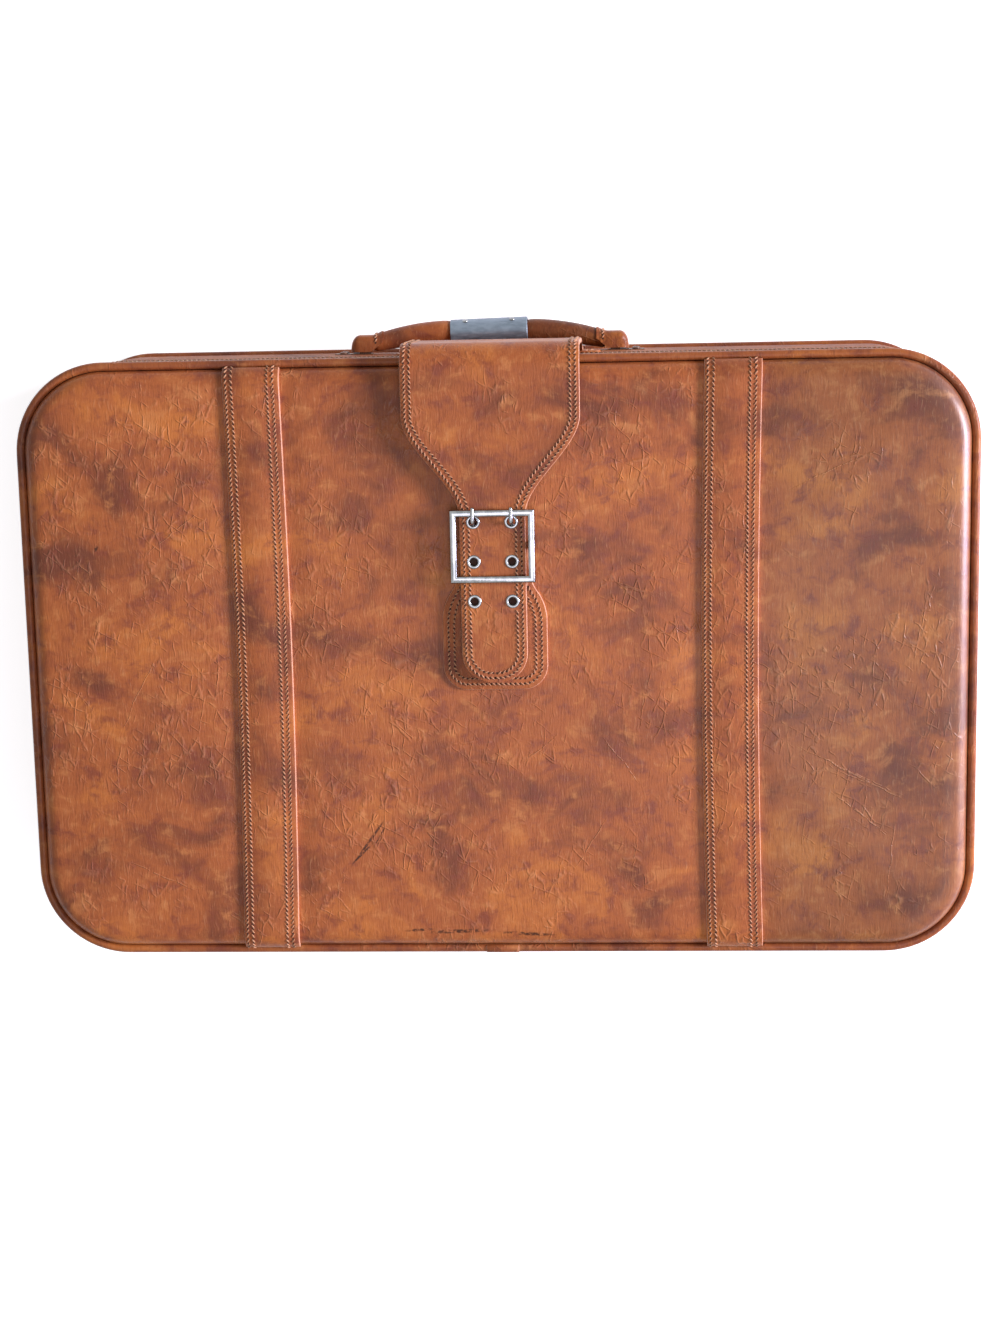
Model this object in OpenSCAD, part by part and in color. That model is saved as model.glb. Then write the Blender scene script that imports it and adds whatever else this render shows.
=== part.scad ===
// Soft-sided zip suitcase, lying on its back.
// +X runs along the length, +Y towards the handle side, +Z out of the padded front.
// The origin is the middle of the back, on the surface that the case lies on.

/* [Case] */
// Length of the gusset wall, left to right
case_w = 655; // [560:5:760]
// Height of the gusset wall, hinge side to handle side
case_h = 415; // [360:5:480]
// Depth of the rear half, from the back to the zip line
body_d = 110; // [100:1:140]
// Depth of the front half, from the zip line to the front seam
lid_d = 64; // [54:1:80]
// Corner radius of the gusset wall
corner_r = 60; // [48:1:80]

/* [Walls] */
// Thickness of the vinyl skin
vinyl_t = 1.2; // [0.8:0.1:1.6]
// Thickness of the fibreboard gusset bands
band_t = 2.5; // [1.5:0.1:3.5]
// Thickness of the back board and the lid board
board_t = 3; // [2:0.1:4]
// Thickness of the lining
lining_t = 1; // [0.6:0.1:1.6]
// Diameter of the spring wire hoops
wire_d = 4; // [3:0.1:5]
// Diameter of the piping
piping_d = 6; // [5:0.1:7]
// How far the piping stands proud of the gusset wall
piping_proud = 2.5; // [1.5:0.1:2.8]
// Length of the sleeve that joins the ends of the front piping
joiner_len = 23; // [16:1:32]
// Wall of that sleeve
joiner_t = 0.5; // [0.3:0.1:0.8]

/* [Padded front] */
// Radius of the rolled edge of the front panel
edge_r = 11; // [8:0.5:14]
// Extra rise of the panel's crown above its rolled edge
crown_h = 3; // [1:0.5:6]
// Distance over which the crown rises
crown_run = 100; // [60:5:120]
// How far the panel's base lies below the front of the piping
cover_sink = 4; // [3:0.5:6]

/* [Strap bands] */
// Width of a strap band
strap_w = 39; // [30:1:50]
// Thickness of a strap band
strap_t = 2.5; // [1.5:0.1:4]
// Distance of a strap band's centre from the middle of the case
strap_x = 162.5; // [130:0.5:190]

/* [Zip and hinge] */
// Free height of the zip between the zip line and a gusset cover
zip_reveal = 6; // [5:0.5:9]
// Depth of a zip tape, from the zip line to the board behind it
tape_w = 12; // [10:0.5:16]
// Thickness of a zip tape
tape_t = 1; // [0.6:0.1:1.4]
// Height of a row of teeth
teeth_h = 2.4; // [1.8:0.1:3]
// How far the teeth stand proud of the gusset wall
teeth_proud = 0.3; // [0:0.1:0.8]
// Half of the gap between the two rows of teeth
teeth_gap = 0.6; // [0.5:0.05:0.8]
// Length of a zip slider
slider_len = 12; // [9:0.5:16]
// Width of a zip slider
slider_w = 10; // [9:0.5:11]
// Thickness of a slider's plates
slider_t = 1.2; // [0.8:0.1:1.6]
// Thickness of the web between a slider's two plates
slider_web = 0.5; // [0.3:0.1:0.6]
// Length of a zip pull from its pin
pull_len = 26; // [18:1:34]
// Width of a zip pull
pull_w = 7; // [5:0.5:9]
// Thickness of a zip pull
pull_t = 1.2; // [0.8:0.1:1.6]
// How far round the corner the zip stops short of the hinge side
zip_short = 12; // [10:1:20]
// Diameter of the bead along the fold of the hinge strip
bead_d = 2.4; // [1.6:0.1:3.6]

/* [Flap] */
// Width of the flap at the handle side
flap_w = 121; // [100:1:150]
// Width of the strap that the flap narrows to
flap_strap_w = 45; // [40:1:47]
// Thickness of the flap
flap_t = 2.6; // [2:0.1:3.2]
// Distance of the flap from the gusset wall where it crosses the zip
flap_stand = 9; // [8:0.5:12]
// Inner radius of the flap where it turns over onto the front
flap_bend_r = 14; // [8:1:18]
// Distance from the buckle bar to where the flap begins to narrow
flap_wide_to = 88; // [80:1:96]
// Distance from the buckle bar to where the flap has narrowed to its strap
flap_narrow_at = 20; // [16:1:40]
// Distance from the buckle bar to the tip of the flap
flap_tip = 94; // [75:1:105]
// Corner radius of the flap's tip
flap_tip_r = 20; // [10:1:22]
// Height of the sewn root of the flap
root_h = 18; // [12:1:22]
// Distance from the zip line to the top of the flap's sewn root
root_below_zip = 18; // [16:1:24]
// Length of the band under the flap's root
root_band_w = 146; // [130:1:170]
// Thickness of that band
root_band_t = 1.5; // [1:0.1:2]

/* [Buckle] */
// Distance of the buckle bar from the middle of the case, towards the handle
bar_y = 82.5; // [60:0.5:95]
// Outer width of the buckle frame
buckle_w = 58; // [57:0.5:66]
// Outer height of the buckle frame
buckle_h = 50; // [46:0.5:60]
// Diameter of the buckle frame's rod
buckle_rod = 4; // [3:0.1:4.4]
// Diameter of the buckle bar
bar_d = 3; // [2.4:0.1:3.4]
// Diameter of a prong
prong_d = 2.4; // [2:0.1:2.8]
// Outer diameter of a prong's barrel
barrel_d = 5.4; // [5:0.1:5.6]
// Distance of each prong from the middle
prong_x = 13; // [11:0.1:15]
// Distance from the buckle bar to the eyelet row that the prongs pass through
prong_reach = 16.3; // [15:0.1:17]
// Distance between eyelet rows along the strap
eyelet_pitch = 27.2; // [24:0.1:32]
// Outer diameter of an eyelet
eyelet_d = 9.6; // [8:0.1:11]
// Hole diameter of an eyelet
eyelet_hole = 5.4; // [4.6:0.1:6]
// Thickness of an eyelet's flange
eyelet_t = 0.5; // [0.3:0.1:0.8]
// Wall of an eyelet's barrel
eyelet_wall = 0.6; // [0.4:0.1:0.8]
// Width of the buckle tab
tab_w = 72; // [66:1:84]
// Width of the tab where it folds over the buckle bar
tab_neck_w = 48; // [44:1:49]
// Thickness of the buckle tab
tab_t = 2; // [1.2:0.1:2.4]
// Wall of the tab's fold round the bar
tab_fold_t = 1.2; // [0.8:0.1:1.4]
// Distance from the buckle bar to the tab's lower end
tab_len = 100.5; // [90:0.5:110]
// Distance from the bar to where the tab reaches its full width
tab_shoulder = 45; // [34:1:55]
// Distance from the bar to where the tab begins to widen
tab_neck_len = 26; // [20:1:30]
// Corner radius of the tab's lower end
tab_corner_r = 11.5; // [6:0.5:16]

/* [Handle] */
// Distance of the handle from the back of the case
handle_z = 54; // [40:1:60]
// Distance of the handle's middle to the right of the case's middle
handle_x = -8; // [-20:1:20]
// Half of the handle's length, to the ends of its core
handle_half = 99; // [92:1:110]
// Height of the grip's centre above the wall, in the middle
grip_rise = 15.4; // [14:0.1:24]
// Grip diameter in the middle
grip_d = 17; // [14:0.5:20]
// Grip diameter at its ends
grip_end_d = 10; // [9:0.5:10.5]
// Width of the core strip
core_w = 8; // [6:0.1:8]
// Thickness of the core strip
core_t = 1.5; // [1:0.1:1.8]
// Width of the stop at each end of the core
core_stop_w = 14; // [12:0.5:16]
// Length of that stop
core_stop_len = 4; // [3:0.5:6]
// Length of the metal sleeve
sleeve_len = 56; // [40:1:70]
// Wall of the metal sleeve
sleeve_t = 1; // [0.6:0.1:1.6]
// Distance of each sleeve rivet from the middle of the sleeve
sleeve_rivet_x = 17; // [10:0.5:18]
// Head diameter of a sleeve rivet
sleeve_rivet_d = 3.2; // [2.4:0.1:4]
// How far the handle lifts
handle_lift = 3.5; // [2:0.5:6]
// Width of a stirrup along the handle
stirrup_len = 7; // [5:0.5:9]
// Thickness of a stirrup and its plate
stirrup_t = 1.2; // [0.8:0.1:1.6]
// Length of a stirrup's plate
plate_len = 26; // [25:1:34]
// Width of a stirrup's plate
plate_w = 18; // [16:1:26]
// Distance of a plate's rivets from the stirrup, outwards along the handle
rivet_x = 15; // [14:0.5:16]
// Distance of a plate's two rivets from its middle line
rivet_z = 5; // [4:0.5:6]
// How far a plate reaches inwards past the middle of its stirrup
plate_in = 5; // [4:0.5:6]
// Shank diameter of a rivet
rivet_d = 3; // [2:0.1:4]
// Head diameter of a rivet
rivet_head_d = 6; // [5:0.1:7]
// Height of a rivet's head
rivet_head_h = 1.4; // [0.8:0.1:2]

/* [Fits] */
// Gap between pieces that are sewn or glued together
seat_gap = 0.1; // [0.05:0.05:0.2]
// Gap between pieces that move past each other
run_gap = 0.3; // [0.3:0.05:0.5]
// Radial clearance of a pin in its bore
pin_gap = 0.05; // [0.03:0.01:0.1]

/* [Hidden] */
$fn = 96;
cut = 1;
hull_fn = 32;
least_r = 4;

// Colours
cognac = "#a8643c";
dark_cognac = "#82482a";
nickel = "#c9c9cc";
sleeve_blue = "#7d8794";
fibre = "#6b5138";
lining_cloth = "#b9a68a";
tape_cloth = "#5a3a26";
brass = "#b08d4a";
foam_colour = "#d8cfa8";

// Levels through the depth, and layers in from the wall's outer face
wall_y = case_h / 2;
front_z = body_d + lid_d;
cord_in = piping_d / 2 - piping_proud;
panel_in = piping_d - piping_proud + seat_gap;
band_in = vinyl_t + band_t;
board_in = max(panel_in, band_in + seat_gap);
body_wall_z = piping_d + seat_gap;
lid_wall_z = front_z - piping_d - seat_gap;
cover_z = front_z - cover_sink;
cover_top_z = cover_z + edge_r + crown_h;
lid_board_z = cover_z - board_t;
wire_in = band_in + seat_gap + wire_d / 2;
lining_in = band_in + wire_d + 3 * seat_gap;
lining_rim = tape_w + lining_t + seat_gap;

// Zip and hinge
hinge_half = case_w / 2 - corner_r;
zip_end = hinge_half + zip_short;
slider_out = teeth_proud + run_gap + slider_t;
slider_in = vinyl_t + tape_t + run_gap;
slider_x = slider_len / 2 + run_gap;
pull_pin_r = 0.8;
pull_eye_r = 1.8;
pull_eye_w = 3.4;
pull_neck = 4;
lug_t = 1.2;
pull_y = wall_y + slider_out + run_gap + pull_eye_r;

// Buckle stack, from the panel upwards
tab_z = cover_top_z + seat_gap;
fold_r = bar_d / 2 + pin_gap + tab_fold_t;
barrel_r = barrel_d / 2;
bar_z = tab_z + max(fold_r, barrel_r + run_gap);
flap_z = bar_z + max(fold_r, barrel_r) + run_gap;
flap_top_z = flap_z + flap_t;
frame_z = flap_top_z + eyelet_t + run_gap + buckle_rod / 2;
rod_y = (buckle_h - buckle_rod) / 2;
rod_x = (buckle_w - buckle_rod) / 2;
prong_under_z = flap_z - eyelet_t - run_gap - prong_d / 2;
prong_knee_z = frame_z + prong_d / 2;
prong_over_z = frame_z + buckle_rod / 2 + prong_d / 2 + 2 * run_gap;
eyelet_barrel = eyelet_hole + 2 * eyelet_wall;
prong_notch = prong_d / 2 + pull_eye_w / 2 + run_gap;

// Flap root and its way up the wall
root_top_z = body_d - root_below_zip;
root_y = wall_y + 2 * seat_gap + root_band_t;
flap_y = wall_y + flap_stand;
flap_clear_z = root_top_z + flap_stand + flap_t;

// Handle
sleeve_r = grip_d / 2 + seat_gap + sleeve_t;
core_end_y = stirrup_t + run_gap + core_t / 2;
stirrup_x = handle_half - core_stop_len - stirrup_len / 2;
stirrup_in_w = core_w + 2 * run_gap;
grip_half = stirrup_x - plate_in - 2 * run_gap;

// The parts of a rounded rectangle that follows the wall, moved inwards by inset
module outline(inset) {
    w = case_w - 2 * inset;
    h = case_h - 2 * inset;
    r = max(corner_r - inset, least_r);
    square([w - 2 * r, h], center = true);
    square([w, h - 2 * r], center = true);
    for (sx = [-1, 1], sy = [-1, 1])
        translate([sx * (w / 2 - r), sy * (h / 2 - r)])
            circle(r);
}

// A flat sheet of that outline
module sheet(inset, z0, z1) {
    translate([0, 0, z0])
        linear_extrude(z1 - z0)
            outline(inset);
}

// A wall band between two insets
module band(outer, inner, z0, z1) {
    translate([0, 0, z0])
        linear_extrude(z1 - z0)
            difference() {
                outline(outer);
                outline(inner);
            }
}

// A round hoop that follows the wall
module hoop(inset, z, d) {
    w = case_w - 2 * inset;
    h = case_h - 2 * inset;
    r = corner_r - inset;
    for (s = [-1, 1]) {
        translate([-(w / 2 - r), s * h / 2, z])
            rotate([0, 90, 0])
                cylinder(h = w - 2 * r, d = d);
        translate([s * w / 2, h / 2 - r, z])
            rotate([90, 0, 0])
                cylinder(h = h - 2 * r, d = d);
    }
    for (q = [0:3]) {
        sx = (q == 0 || q == 3) ? 1 : -1;
        sy = q < 2 ? 1 : -1;
        translate([sx * (w / 2 - r), sy * (h / 2 - r), z])
            rotate([0, 0, 90 * q])
                rotate_extrude(angle = 90)
                    translate([r, 0])
                        circle(d = d, $fn = 48);
    }
}

// The stretch on the hinge side where there is no zip
module hinge_stretch(z0, z1, gap) {
    half = zip_end - gap;
    translate([-half, -case_h, z0])
        cube([2 * half, case_h, z1 - z0]);
}

// Holes for the handle's rivets through the wall
module rivet_holes(d) {
    for (s = [-1, 1], r = [-1, 1])
        translate([handle_x + s * (stirrup_x + rivet_x), wall_y + cut, handle_z + r * rivet_z])
            rotate([90, 0, 0])
                cylinder(h = band_in + 2 * cut + stirrup_t, d = d);
}

module back_cover() {
    color(cognac)
        sheet(panel_in, 0, vinyl_t);
}

module back_board() {
    color(fibre)
        sheet(board_in, vinyl_t, vinyl_t + board_t);
}

module back_piping() {
    color(dark_cognac)
        hoop(cord_in, piping_d / 2, piping_d);
}

module body_gusset_cover() {
    color(cognac)
        difference() {
            band(0, vinyl_t, body_wall_z, body_d - zip_reveal);
            rivet_holes(rivet_d + 2 * pin_gap);
        }
}

module body_gusset_board() {
    color(fibre)
        difference() {
            band(vinyl_t, band_in, body_wall_z, body_d - tape_w);
            rivet_holes(rivet_d + 2 * pin_gap);
        }
}

module body_frame_wire() {
    color(nickel)
        hoop(wire_in, vinyl_t + board_t + seat_gap + wire_d / 2, wire_d);
}

// An open tray of lining cloth, with a rim that reaches out to the board
module body_lining() {
    floor_z = vinyl_t + board_t + seat_gap;
    rim_z = body_d - lining_rim;
    color(lining_cloth) {
        sheet(lining_in, floor_z, floor_z + lining_t);
        band(lining_in, lining_in + lining_t, floor_z, rim_z);
        band(band_in + seat_gap, lining_in + lining_t, rim_z, rim_z + lining_t);
    }
}

module body_zip_tape() {
    color(tape_cloth)
        difference() {
            band(vinyl_t, vinyl_t + tape_t, body_d - tape_w + seat_gap, body_d - teeth_gap);
            hinge_stretch(body_d - tape_w, body_d, 0);
        }
}

module body_zip_teeth() {
    color(brass)
        difference() {
            band(-teeth_proud, vinyl_t, body_d - teeth_gap - teeth_h, body_d - teeth_gap);
            hinge_stretch(body_d - tape_w, body_d, 0);
        }
}

// A vinyl strip across the hinge side, with a bead along its fold
module hinge_strip() {
    half_h = zip_reveal - seat_gap;
    color(cognac) {
        intersection() {
            band(0, vinyl_t, body_d - half_h, body_d + half_h);
            hinge_stretch(body_d - zip_reveal, body_d + zip_reveal, seat_gap);
        }
        translate([bead_d - hinge_half, -wall_y, body_d])
            rotate([0, 90, 0])
                cylinder(h = 2 * (hinge_half - bead_d), d = bead_d);
    }
}

// Height of the handle's centre line above the wall, level under the sleeve and falling to its ends
function handle_run(x) = max(abs(x) - sleeve_len / 2, 0) / (handle_half - sleeve_len / 2);
function handle_y(x) = core_end_y + (grip_rise - core_end_y) * (1 - pow(handle_run(x), 2));
function grip_r(x) = grip_d / 2 - (grip_d - grip_end_d) / 2 * pow(handle_run(x) / handle_run(grip_half), 2);
function bar_steps(half, step) = let (n = ceil(half / step)) [for (i = [-n:n]) half * i / n];

// A closed body made of rings of points, one ring at each place along the handle
module swept(rings) {
    n = len(rings[0]);
    m = len(rings);
    points = [for (ring = rings) each ring];
    first = [for (j = [1:n - 2]) [0, j + 1, j]];
    last = [for (j = [1:n - 2]) [(m - 1) * n, (m - 1) * n + j, (m - 1) * n + j + 1]];
    sides = [
        for (i = [0:m - 2], j = [0:n - 1])
            let (a = i * n + j, b = i * n + (j + 1) % n)
                each [[a, b + n, a + n], [a, b, b + n]]
    ];
    polyhedron(points = points, faces = concat(first, last, sides), convexity = 4);
}

module handle_strip(half, w, t, step) {
    swept([
        for (x = bar_steps(half, step))
            [for (c = [[-1, -1], [-1, 1], [1, 1], [1, -1]])
                [handle_x + x, wall_y + handle_y(x) + c[0] * t / 2, handle_z + c[1] * w / 2]]
    ]);
}

// A spring steel strip through the grip, with a wide stop at each end
module handle_core() {
    color(nickel) {
        handle_strip(handle_half, core_w, core_t, 6);
        for (s = [-1, 1])
            translate([handle_x + s * (handle_half - core_stop_len / 2), wall_y + core_end_y, handle_z])
                cube([core_stop_len, core_t, core_stop_w], center = true);
    }
}

module handle_grip() {
    sides = 16;
    color(cognac)
        difference() {
            swept([
                for (x = bar_steps(grip_half, 5))
                    [for (k = [0:sides - 1])
                        let (a = 360 * k / sides, r = grip_r(x))
                            [handle_x + x, wall_y + handle_y(x) - r * cos(a), handle_z + r * sin(a)]]
            ]);
            handle_strip(handle_half, core_w + 2 * seat_gap, core_t + 2 * seat_gap, 6);
        }
}

// Places the two rivets of the sleeve, standing on its outer face
module at_sleeve_rivets() {
    for (s = [-1, 1])
        translate([handle_x + s * sleeve_rivet_x, wall_y + grip_rise, handle_z])
            rotate([-60, 0, 0])
                children();
}

module handle_sleeve() {
    color(sleeve_blue)
        difference() {
            translate([handle_x - sleeve_len / 2, wall_y + grip_rise, handle_z])
                rotate([0, 90, 0])
                    cylinder(h = sleeve_len, r = sleeve_r);
            translate([handle_x - sleeve_len / 2 - cut, wall_y + grip_rise, handle_z])
                rotate([0, 90, 0])
                    cylinder(h = sleeve_len + 2 * cut, r = sleeve_r - sleeve_t);
            at_sleeve_rivets()
                cylinder(h = sleeve_r + cut, d = sleeve_rivet_d / 2 + 2 * pin_gap);
        }
}

module handle_sleeve_rivets() {
    color(nickel)
        at_sleeve_rivets() {
            translate([0, 0, sleeve_r - sleeve_t])
                cylinder(h = 2 * sleeve_t, d = sleeve_rivet_d / 2);
            translate([0, 0, sleeve_r + seat_gap])
                cylinder(h = sleeve_t, d = sleeve_rivet_d);
        }
}

// A flat plate that reaches outwards from a stirrup, to the left for s of -1
module plate(s) {
    translate([s > 0 ? -plate_in : plate_in - plate_len, 0, -plate_w / 2])
        cube([plate_len, stirrup_t, plate_w]);
}

// A stirrup that the core's end slides in, standing on its riveted plate
module handle_brackets() {
    core_top = handle_y(stirrup_x - stirrup_len / 2) + core_t;
    inner_h = core_top + handle_lift + run_gap;
    outer_w = stirrup_in_w + 2 * stirrup_t;
    color(nickel)
        difference() {
            for (s = [-1, 1])
                translate([handle_x + s * stirrup_x, wall_y, handle_z]) {
                    plate(s);
                    translate([-stirrup_len / 2, inner_h, -outer_w / 2])
                        cube([stirrup_len, stirrup_t, outer_w]);
                    for (z = [-outer_w / 2, outer_w / 2 - stirrup_t])
                        translate([-stirrup_len / 2, 0, z])
                            cube([stirrup_len, inner_h + stirrup_t, stirrup_t]);
                }
            translate([0, stirrup_t, 0])
                rivet_holes(rivet_d + 2 * pin_gap);
        }
}

// Rivets with a low head outside and a shank through the wall to the backing plate
module handle_rivets() {
    color(nickel)
        for (s = [-1, 1], r = [-1, 1])
            translate([handle_x + s * (stirrup_x + rivet_x), wall_y, handle_z + r * rivet_z])
                rotate([-90, 0, 0]) {
                    translate([0, 0, -band_in - stirrup_t])
                        cylinder(h = band_in + 2 * stirrup_t + rivet_head_h / 2, d = rivet_d);
                    translate([0, 0, stirrup_t + seat_gap])
                        cylinder(h = rivet_head_h / 2, d = rivet_head_d);
                    translate([0, 0, stirrup_t + seat_gap + rivet_head_h / 2])
                        cylinder(h = rivet_head_h / 2, d1 = rivet_head_d, d2 = rivet_head_d / 2);
                }
}

module handle_backing_plates() {
    color(nickel)
        difference() {
            for (s = [-1, 1])
                translate([handle_x + s * stirrup_x, wall_y - band_in - stirrup_t, handle_z])
                    plate(s);
            rivet_holes(rivet_d + 2 * pin_gap);
        }
}

module flap_root_band() {
    color(cognac)
        translate([-root_band_w / 2, wall_y + seat_gap, root_top_z - root_h])
            cube([root_band_w, root_band_t, root_h]);
}

// Half width of the flap at a distance up from the buckle bar, a smooth S from the strap to the full width
function flap_half(d) =
    let (t = min(max((d - flap_narrow_at) / (flap_wide_to - flap_narrow_at), 0), 1))
        (flap_strap_w + (flap_w - flap_strap_w) * t * t * (3 - 2 * t)) / 2;

module flap_outline() {
    steps = 14;
    top = flap_y + flap_t + cut - bar_y;
    ds = concat([for (i = [0:steps]) flap_narrow_at + (flap_wide_to - flap_narrow_at) * i / steps], [top]);
    shoulder = flap_tip - flap_tip_r;
    tip_x = flap_strap_w / 2 - flap_tip_r;
    translate([0, bar_y]) {
        polygon(concat(
            [for (d = ds) [flap_half(d), d]],
            [for (i = [len(ds) - 1:-1:0]) [-flap_half(ds[i]), ds[i]]]
        ));
        translate([-flap_strap_w / 2, -shoulder])
            square([flap_strap_w, shoulder + flap_narrow_at]);
        translate([-tip_x, -flap_tip])
            square([2 * tip_x, flap_tip_r]);
        for (s = [-1, 1])
            translate([s * tip_x, -shoulder])
                circle(flap_tip_r);
    }
}

// The flap's thickness as it rises from its root, stands off the wall and turns over onto the front
module flap_side() {
    bend = flap_bend_r;
    turn = [for (a = [0:10:90]) a];
    inner = concat(
        [[root_y, root_top_z - root_h], [root_y, root_top_z], [flap_y, flap_clear_z]],
        [for (a = turn) [flap_y - bend + bend * cos(a), flap_z - bend + bend * sin(a)]],
        [[bar_y - flap_tip - cut, flap_z]]
    );
    out = bend + flap_t;
    outer = concat(
        [[root_y + flap_t, root_top_z - root_h], [root_y + flap_t, root_top_z - flap_t / 2],
            [flap_y + flap_t, flap_clear_z - flap_t / 2]],
        [for (a = turn) [flap_y - bend + out * cos(a), flap_z - bend + out * sin(a)]],
        [[bar_y - flap_tip - cut, flap_top_z]]
    );
    polygon(concat(inner, [for (i = [len(outer) - 1:-1:0]) outer[i]]));
}

// Places the three pairs of eyelets, at the middle of the flap's thickness
module at_eyelets() {
    for (row = [0:2], s = [-1, 1])
        translate([s * prong_x, bar_y + prong_reach - row * eyelet_pitch, flap_z + flap_t / 2])
            children();
}

module flap() {
    color(cognac)
        difference() {
            intersection() {
                rotate([90, 0, 90])
                    translate([0, 0, -flap_w])
                        linear_extrude(2 * flap_w)
                            flap_side();
                translate([0, 0, -cut])
                    linear_extrude(flap_top_z + 2 * cut)
                        flap_outline();
            }
            at_eyelets()
                cylinder(h = flap_t + 2 * cut, d = eyelet_barrel + 2 * pin_gap, center = true);
        }
}

module flap_eyelets() {
    color(nickel)
        at_eyelets()
            difference() {
                union() {
                    cylinder(h = flap_t + 2 * eyelet_t, d = eyelet_barrel, center = true);
                    for (s = [-1, 1])
                        translate([0, 0, s * (flap_t + eyelet_t + 2 * pin_gap) / 2])
                            cylinder(h = eyelet_t, d = eyelet_d, center = true);
                }
                cylinder(h = flap_t + 4 * eyelet_t + cut, d = eyelet_hole, center = true);
            }
}

// A slider: a plate on each side of the tapes, a thin web between them, and lugs with a pin for the pull
module zip_slider(side) {
    pin_h = 2 * (pull_eye_w / 2 + run_gap + lug_t);
    color(brass)
        translate([side * slider_x, 0, body_d]) {
            translate([-slider_len / 2, wall_y + slider_out - slider_t, -slider_w / 2])
                cube([slider_len, slider_t, slider_w]);
            translate([-slider_len / 2, wall_y - slider_in - slider_t, -slider_w / 2])
                cube([slider_len, slider_t, slider_w]);
            translate([-slider_len / 4, wall_y - slider_in - slider_t, -slider_web / 2])
                cube([slider_len / 2, slider_in + slider_out + slider_t, slider_web]);
            for (s = [-1, 1])
                translate([0, 0, s * (pull_eye_w / 2 + run_gap + lug_t / 2)])
                    translate([-pull_eye_r, wall_y + slider_out - slider_t / 2, -lug_t / 2])
                        cube([2 * pull_eye_r, pull_y + pull_pin_r - wall_y - slider_out + slider_t, lug_t]);
            translate([0, pull_y, -pin_h / 2])
                cylinder(h = pin_h, r = pull_pin_r);
        }
}

// A pull tab with an eye round the slider's pin
module zip_pull(side) {
    color(brass)
        translate([side * slider_x, pull_y, body_d])
            difference() {
                union() {
                    cylinder(h = pull_eye_w, r = pull_eye_r, center = true);
                    translate([side > 0 ? 0 : -pull_neck - cut, -pull_t / 2, -pull_eye_w / 2])
                        cube([pull_neck + cut, pull_t, pull_eye_w]);
                    translate([side > 0 ? pull_neck : -pull_len, -pull_t / 2, -pull_w / 2])
                        cube([pull_len - pull_neck, pull_t, pull_w]);
                }
                cylinder(h = pull_w + 2 * cut, r = pull_pin_r + pin_gap, center = true);
            }
}

module zip_slider_left() {
    zip_slider(-1);
}

module zip_slider_right() {
    zip_slider(1);
}

module zip_pull_left() {
    zip_pull(-1);
}

module zip_pull_right() {
    zip_pull(1);
}

module lid_board() {
    color(fibre)
        sheet(board_in, lid_board_z, cover_z);
}

// Inset and height of the panel's side, up the rolled edge and on over the crown
edge_angles = [0, 15, 30, 45, 60, 75, 90];
crown_steps = [1 / 3, 2 / 3, 1];
panel_side = concat(
    [for (a = edge_angles) [edge_r * (1 - cos(a)), edge_r * sin(a)]],
    [for (t = crown_steps) [edge_r + crown_run * t, edge_r + crown_h * (1 - (1 - t) * (1 - t))]]
);

// The padded form of the front, made smaller all round by skin, with its base lowered by low
module pillow(skin, low) {
    film = 0.01;
    hull()
        for (p = panel_side)
            translate([0, 0, cover_z + (p[1] > 0 ? p[1] - skin : -low)])
                linear_extrude(film)
                    outline(panel_in + p[0] + skin, $fn = hull_fn);
}

module front_padding() {
    color(foam_colour)
        difference() {
            pillow(vinyl_t + seat_gap, cut);
            translate([-case_w, -case_h, cover_z - 2 * cut])
                cube([2 * case_w, 2 * case_h, 2 * cut]);
        }
}

module front_cover() {
    color(cognac)
        difference() {
            pillow(0, 0);
            pillow(vinyl_t, cut);
        }
}

module front_piping() {
    color(dark_cognac)
        hoop(cord_in, front_z - piping_d / 2, piping_d);
}

// A short wrap over the outside of the front piping, where its ends meet
module front_piping_joiner() {
    color(dark_cognac)
        intersection() {
            translate([-joiner_len / 2, cord_in - wall_y, front_z - piping_d / 2])
                rotate([0, 90, 0])
                    difference() {
                        cylinder(h = joiner_len, r = piping_d / 2 + seat_gap + joiner_t);
                        translate([0, 0, -cut])
                            cylinder(h = joiner_len + 2 * cut, r = piping_d / 2 + seat_gap);
                    }
            translate([-joiner_len, -case_h - wall_y - seat_gap, 0])
                cube([2 * joiner_len, case_h, front_z + piping_d]);
        }
}

module lid_gusset_cover() {
    color(cognac)
        band(0, vinyl_t, body_d + zip_reveal, lid_wall_z);
}

module lid_gusset_board() {
    color(fibre)
        band(vinyl_t, band_in, body_d + tape_w, lid_wall_z);
}

module lid_frame_wire() {
    color(nickel)
        hoop(wire_in, lid_board_z - seat_gap - wire_d / 2, wire_d);
}

module lid_lining() {
    top_z = lid_board_z - seat_gap;
    rim_z = body_d + lining_rim;
    color(lining_cloth) {
        sheet(lining_in, top_z - lining_t, top_z);
        band(lining_in, lining_in + lining_t, rim_z, top_z);
        band(band_in + seat_gap, lining_in + lining_t, rim_z - lining_t, rim_z);
    }
}

module lid_zip_tape() {
    color(tape_cloth)
        difference() {
            band(vinyl_t, vinyl_t + tape_t, body_d + teeth_gap, body_d + tape_w - seat_gap);
            hinge_stretch(body_d, body_d + tape_w, 0);
        }
}

module lid_zip_teeth() {
    color(brass)
        difference() {
            band(-teeth_proud, vinyl_t, body_d + teeth_gap, body_d + teeth_gap + teeth_h);
            hinge_stretch(body_d, body_d + tape_w, 0);
        }
}

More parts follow.
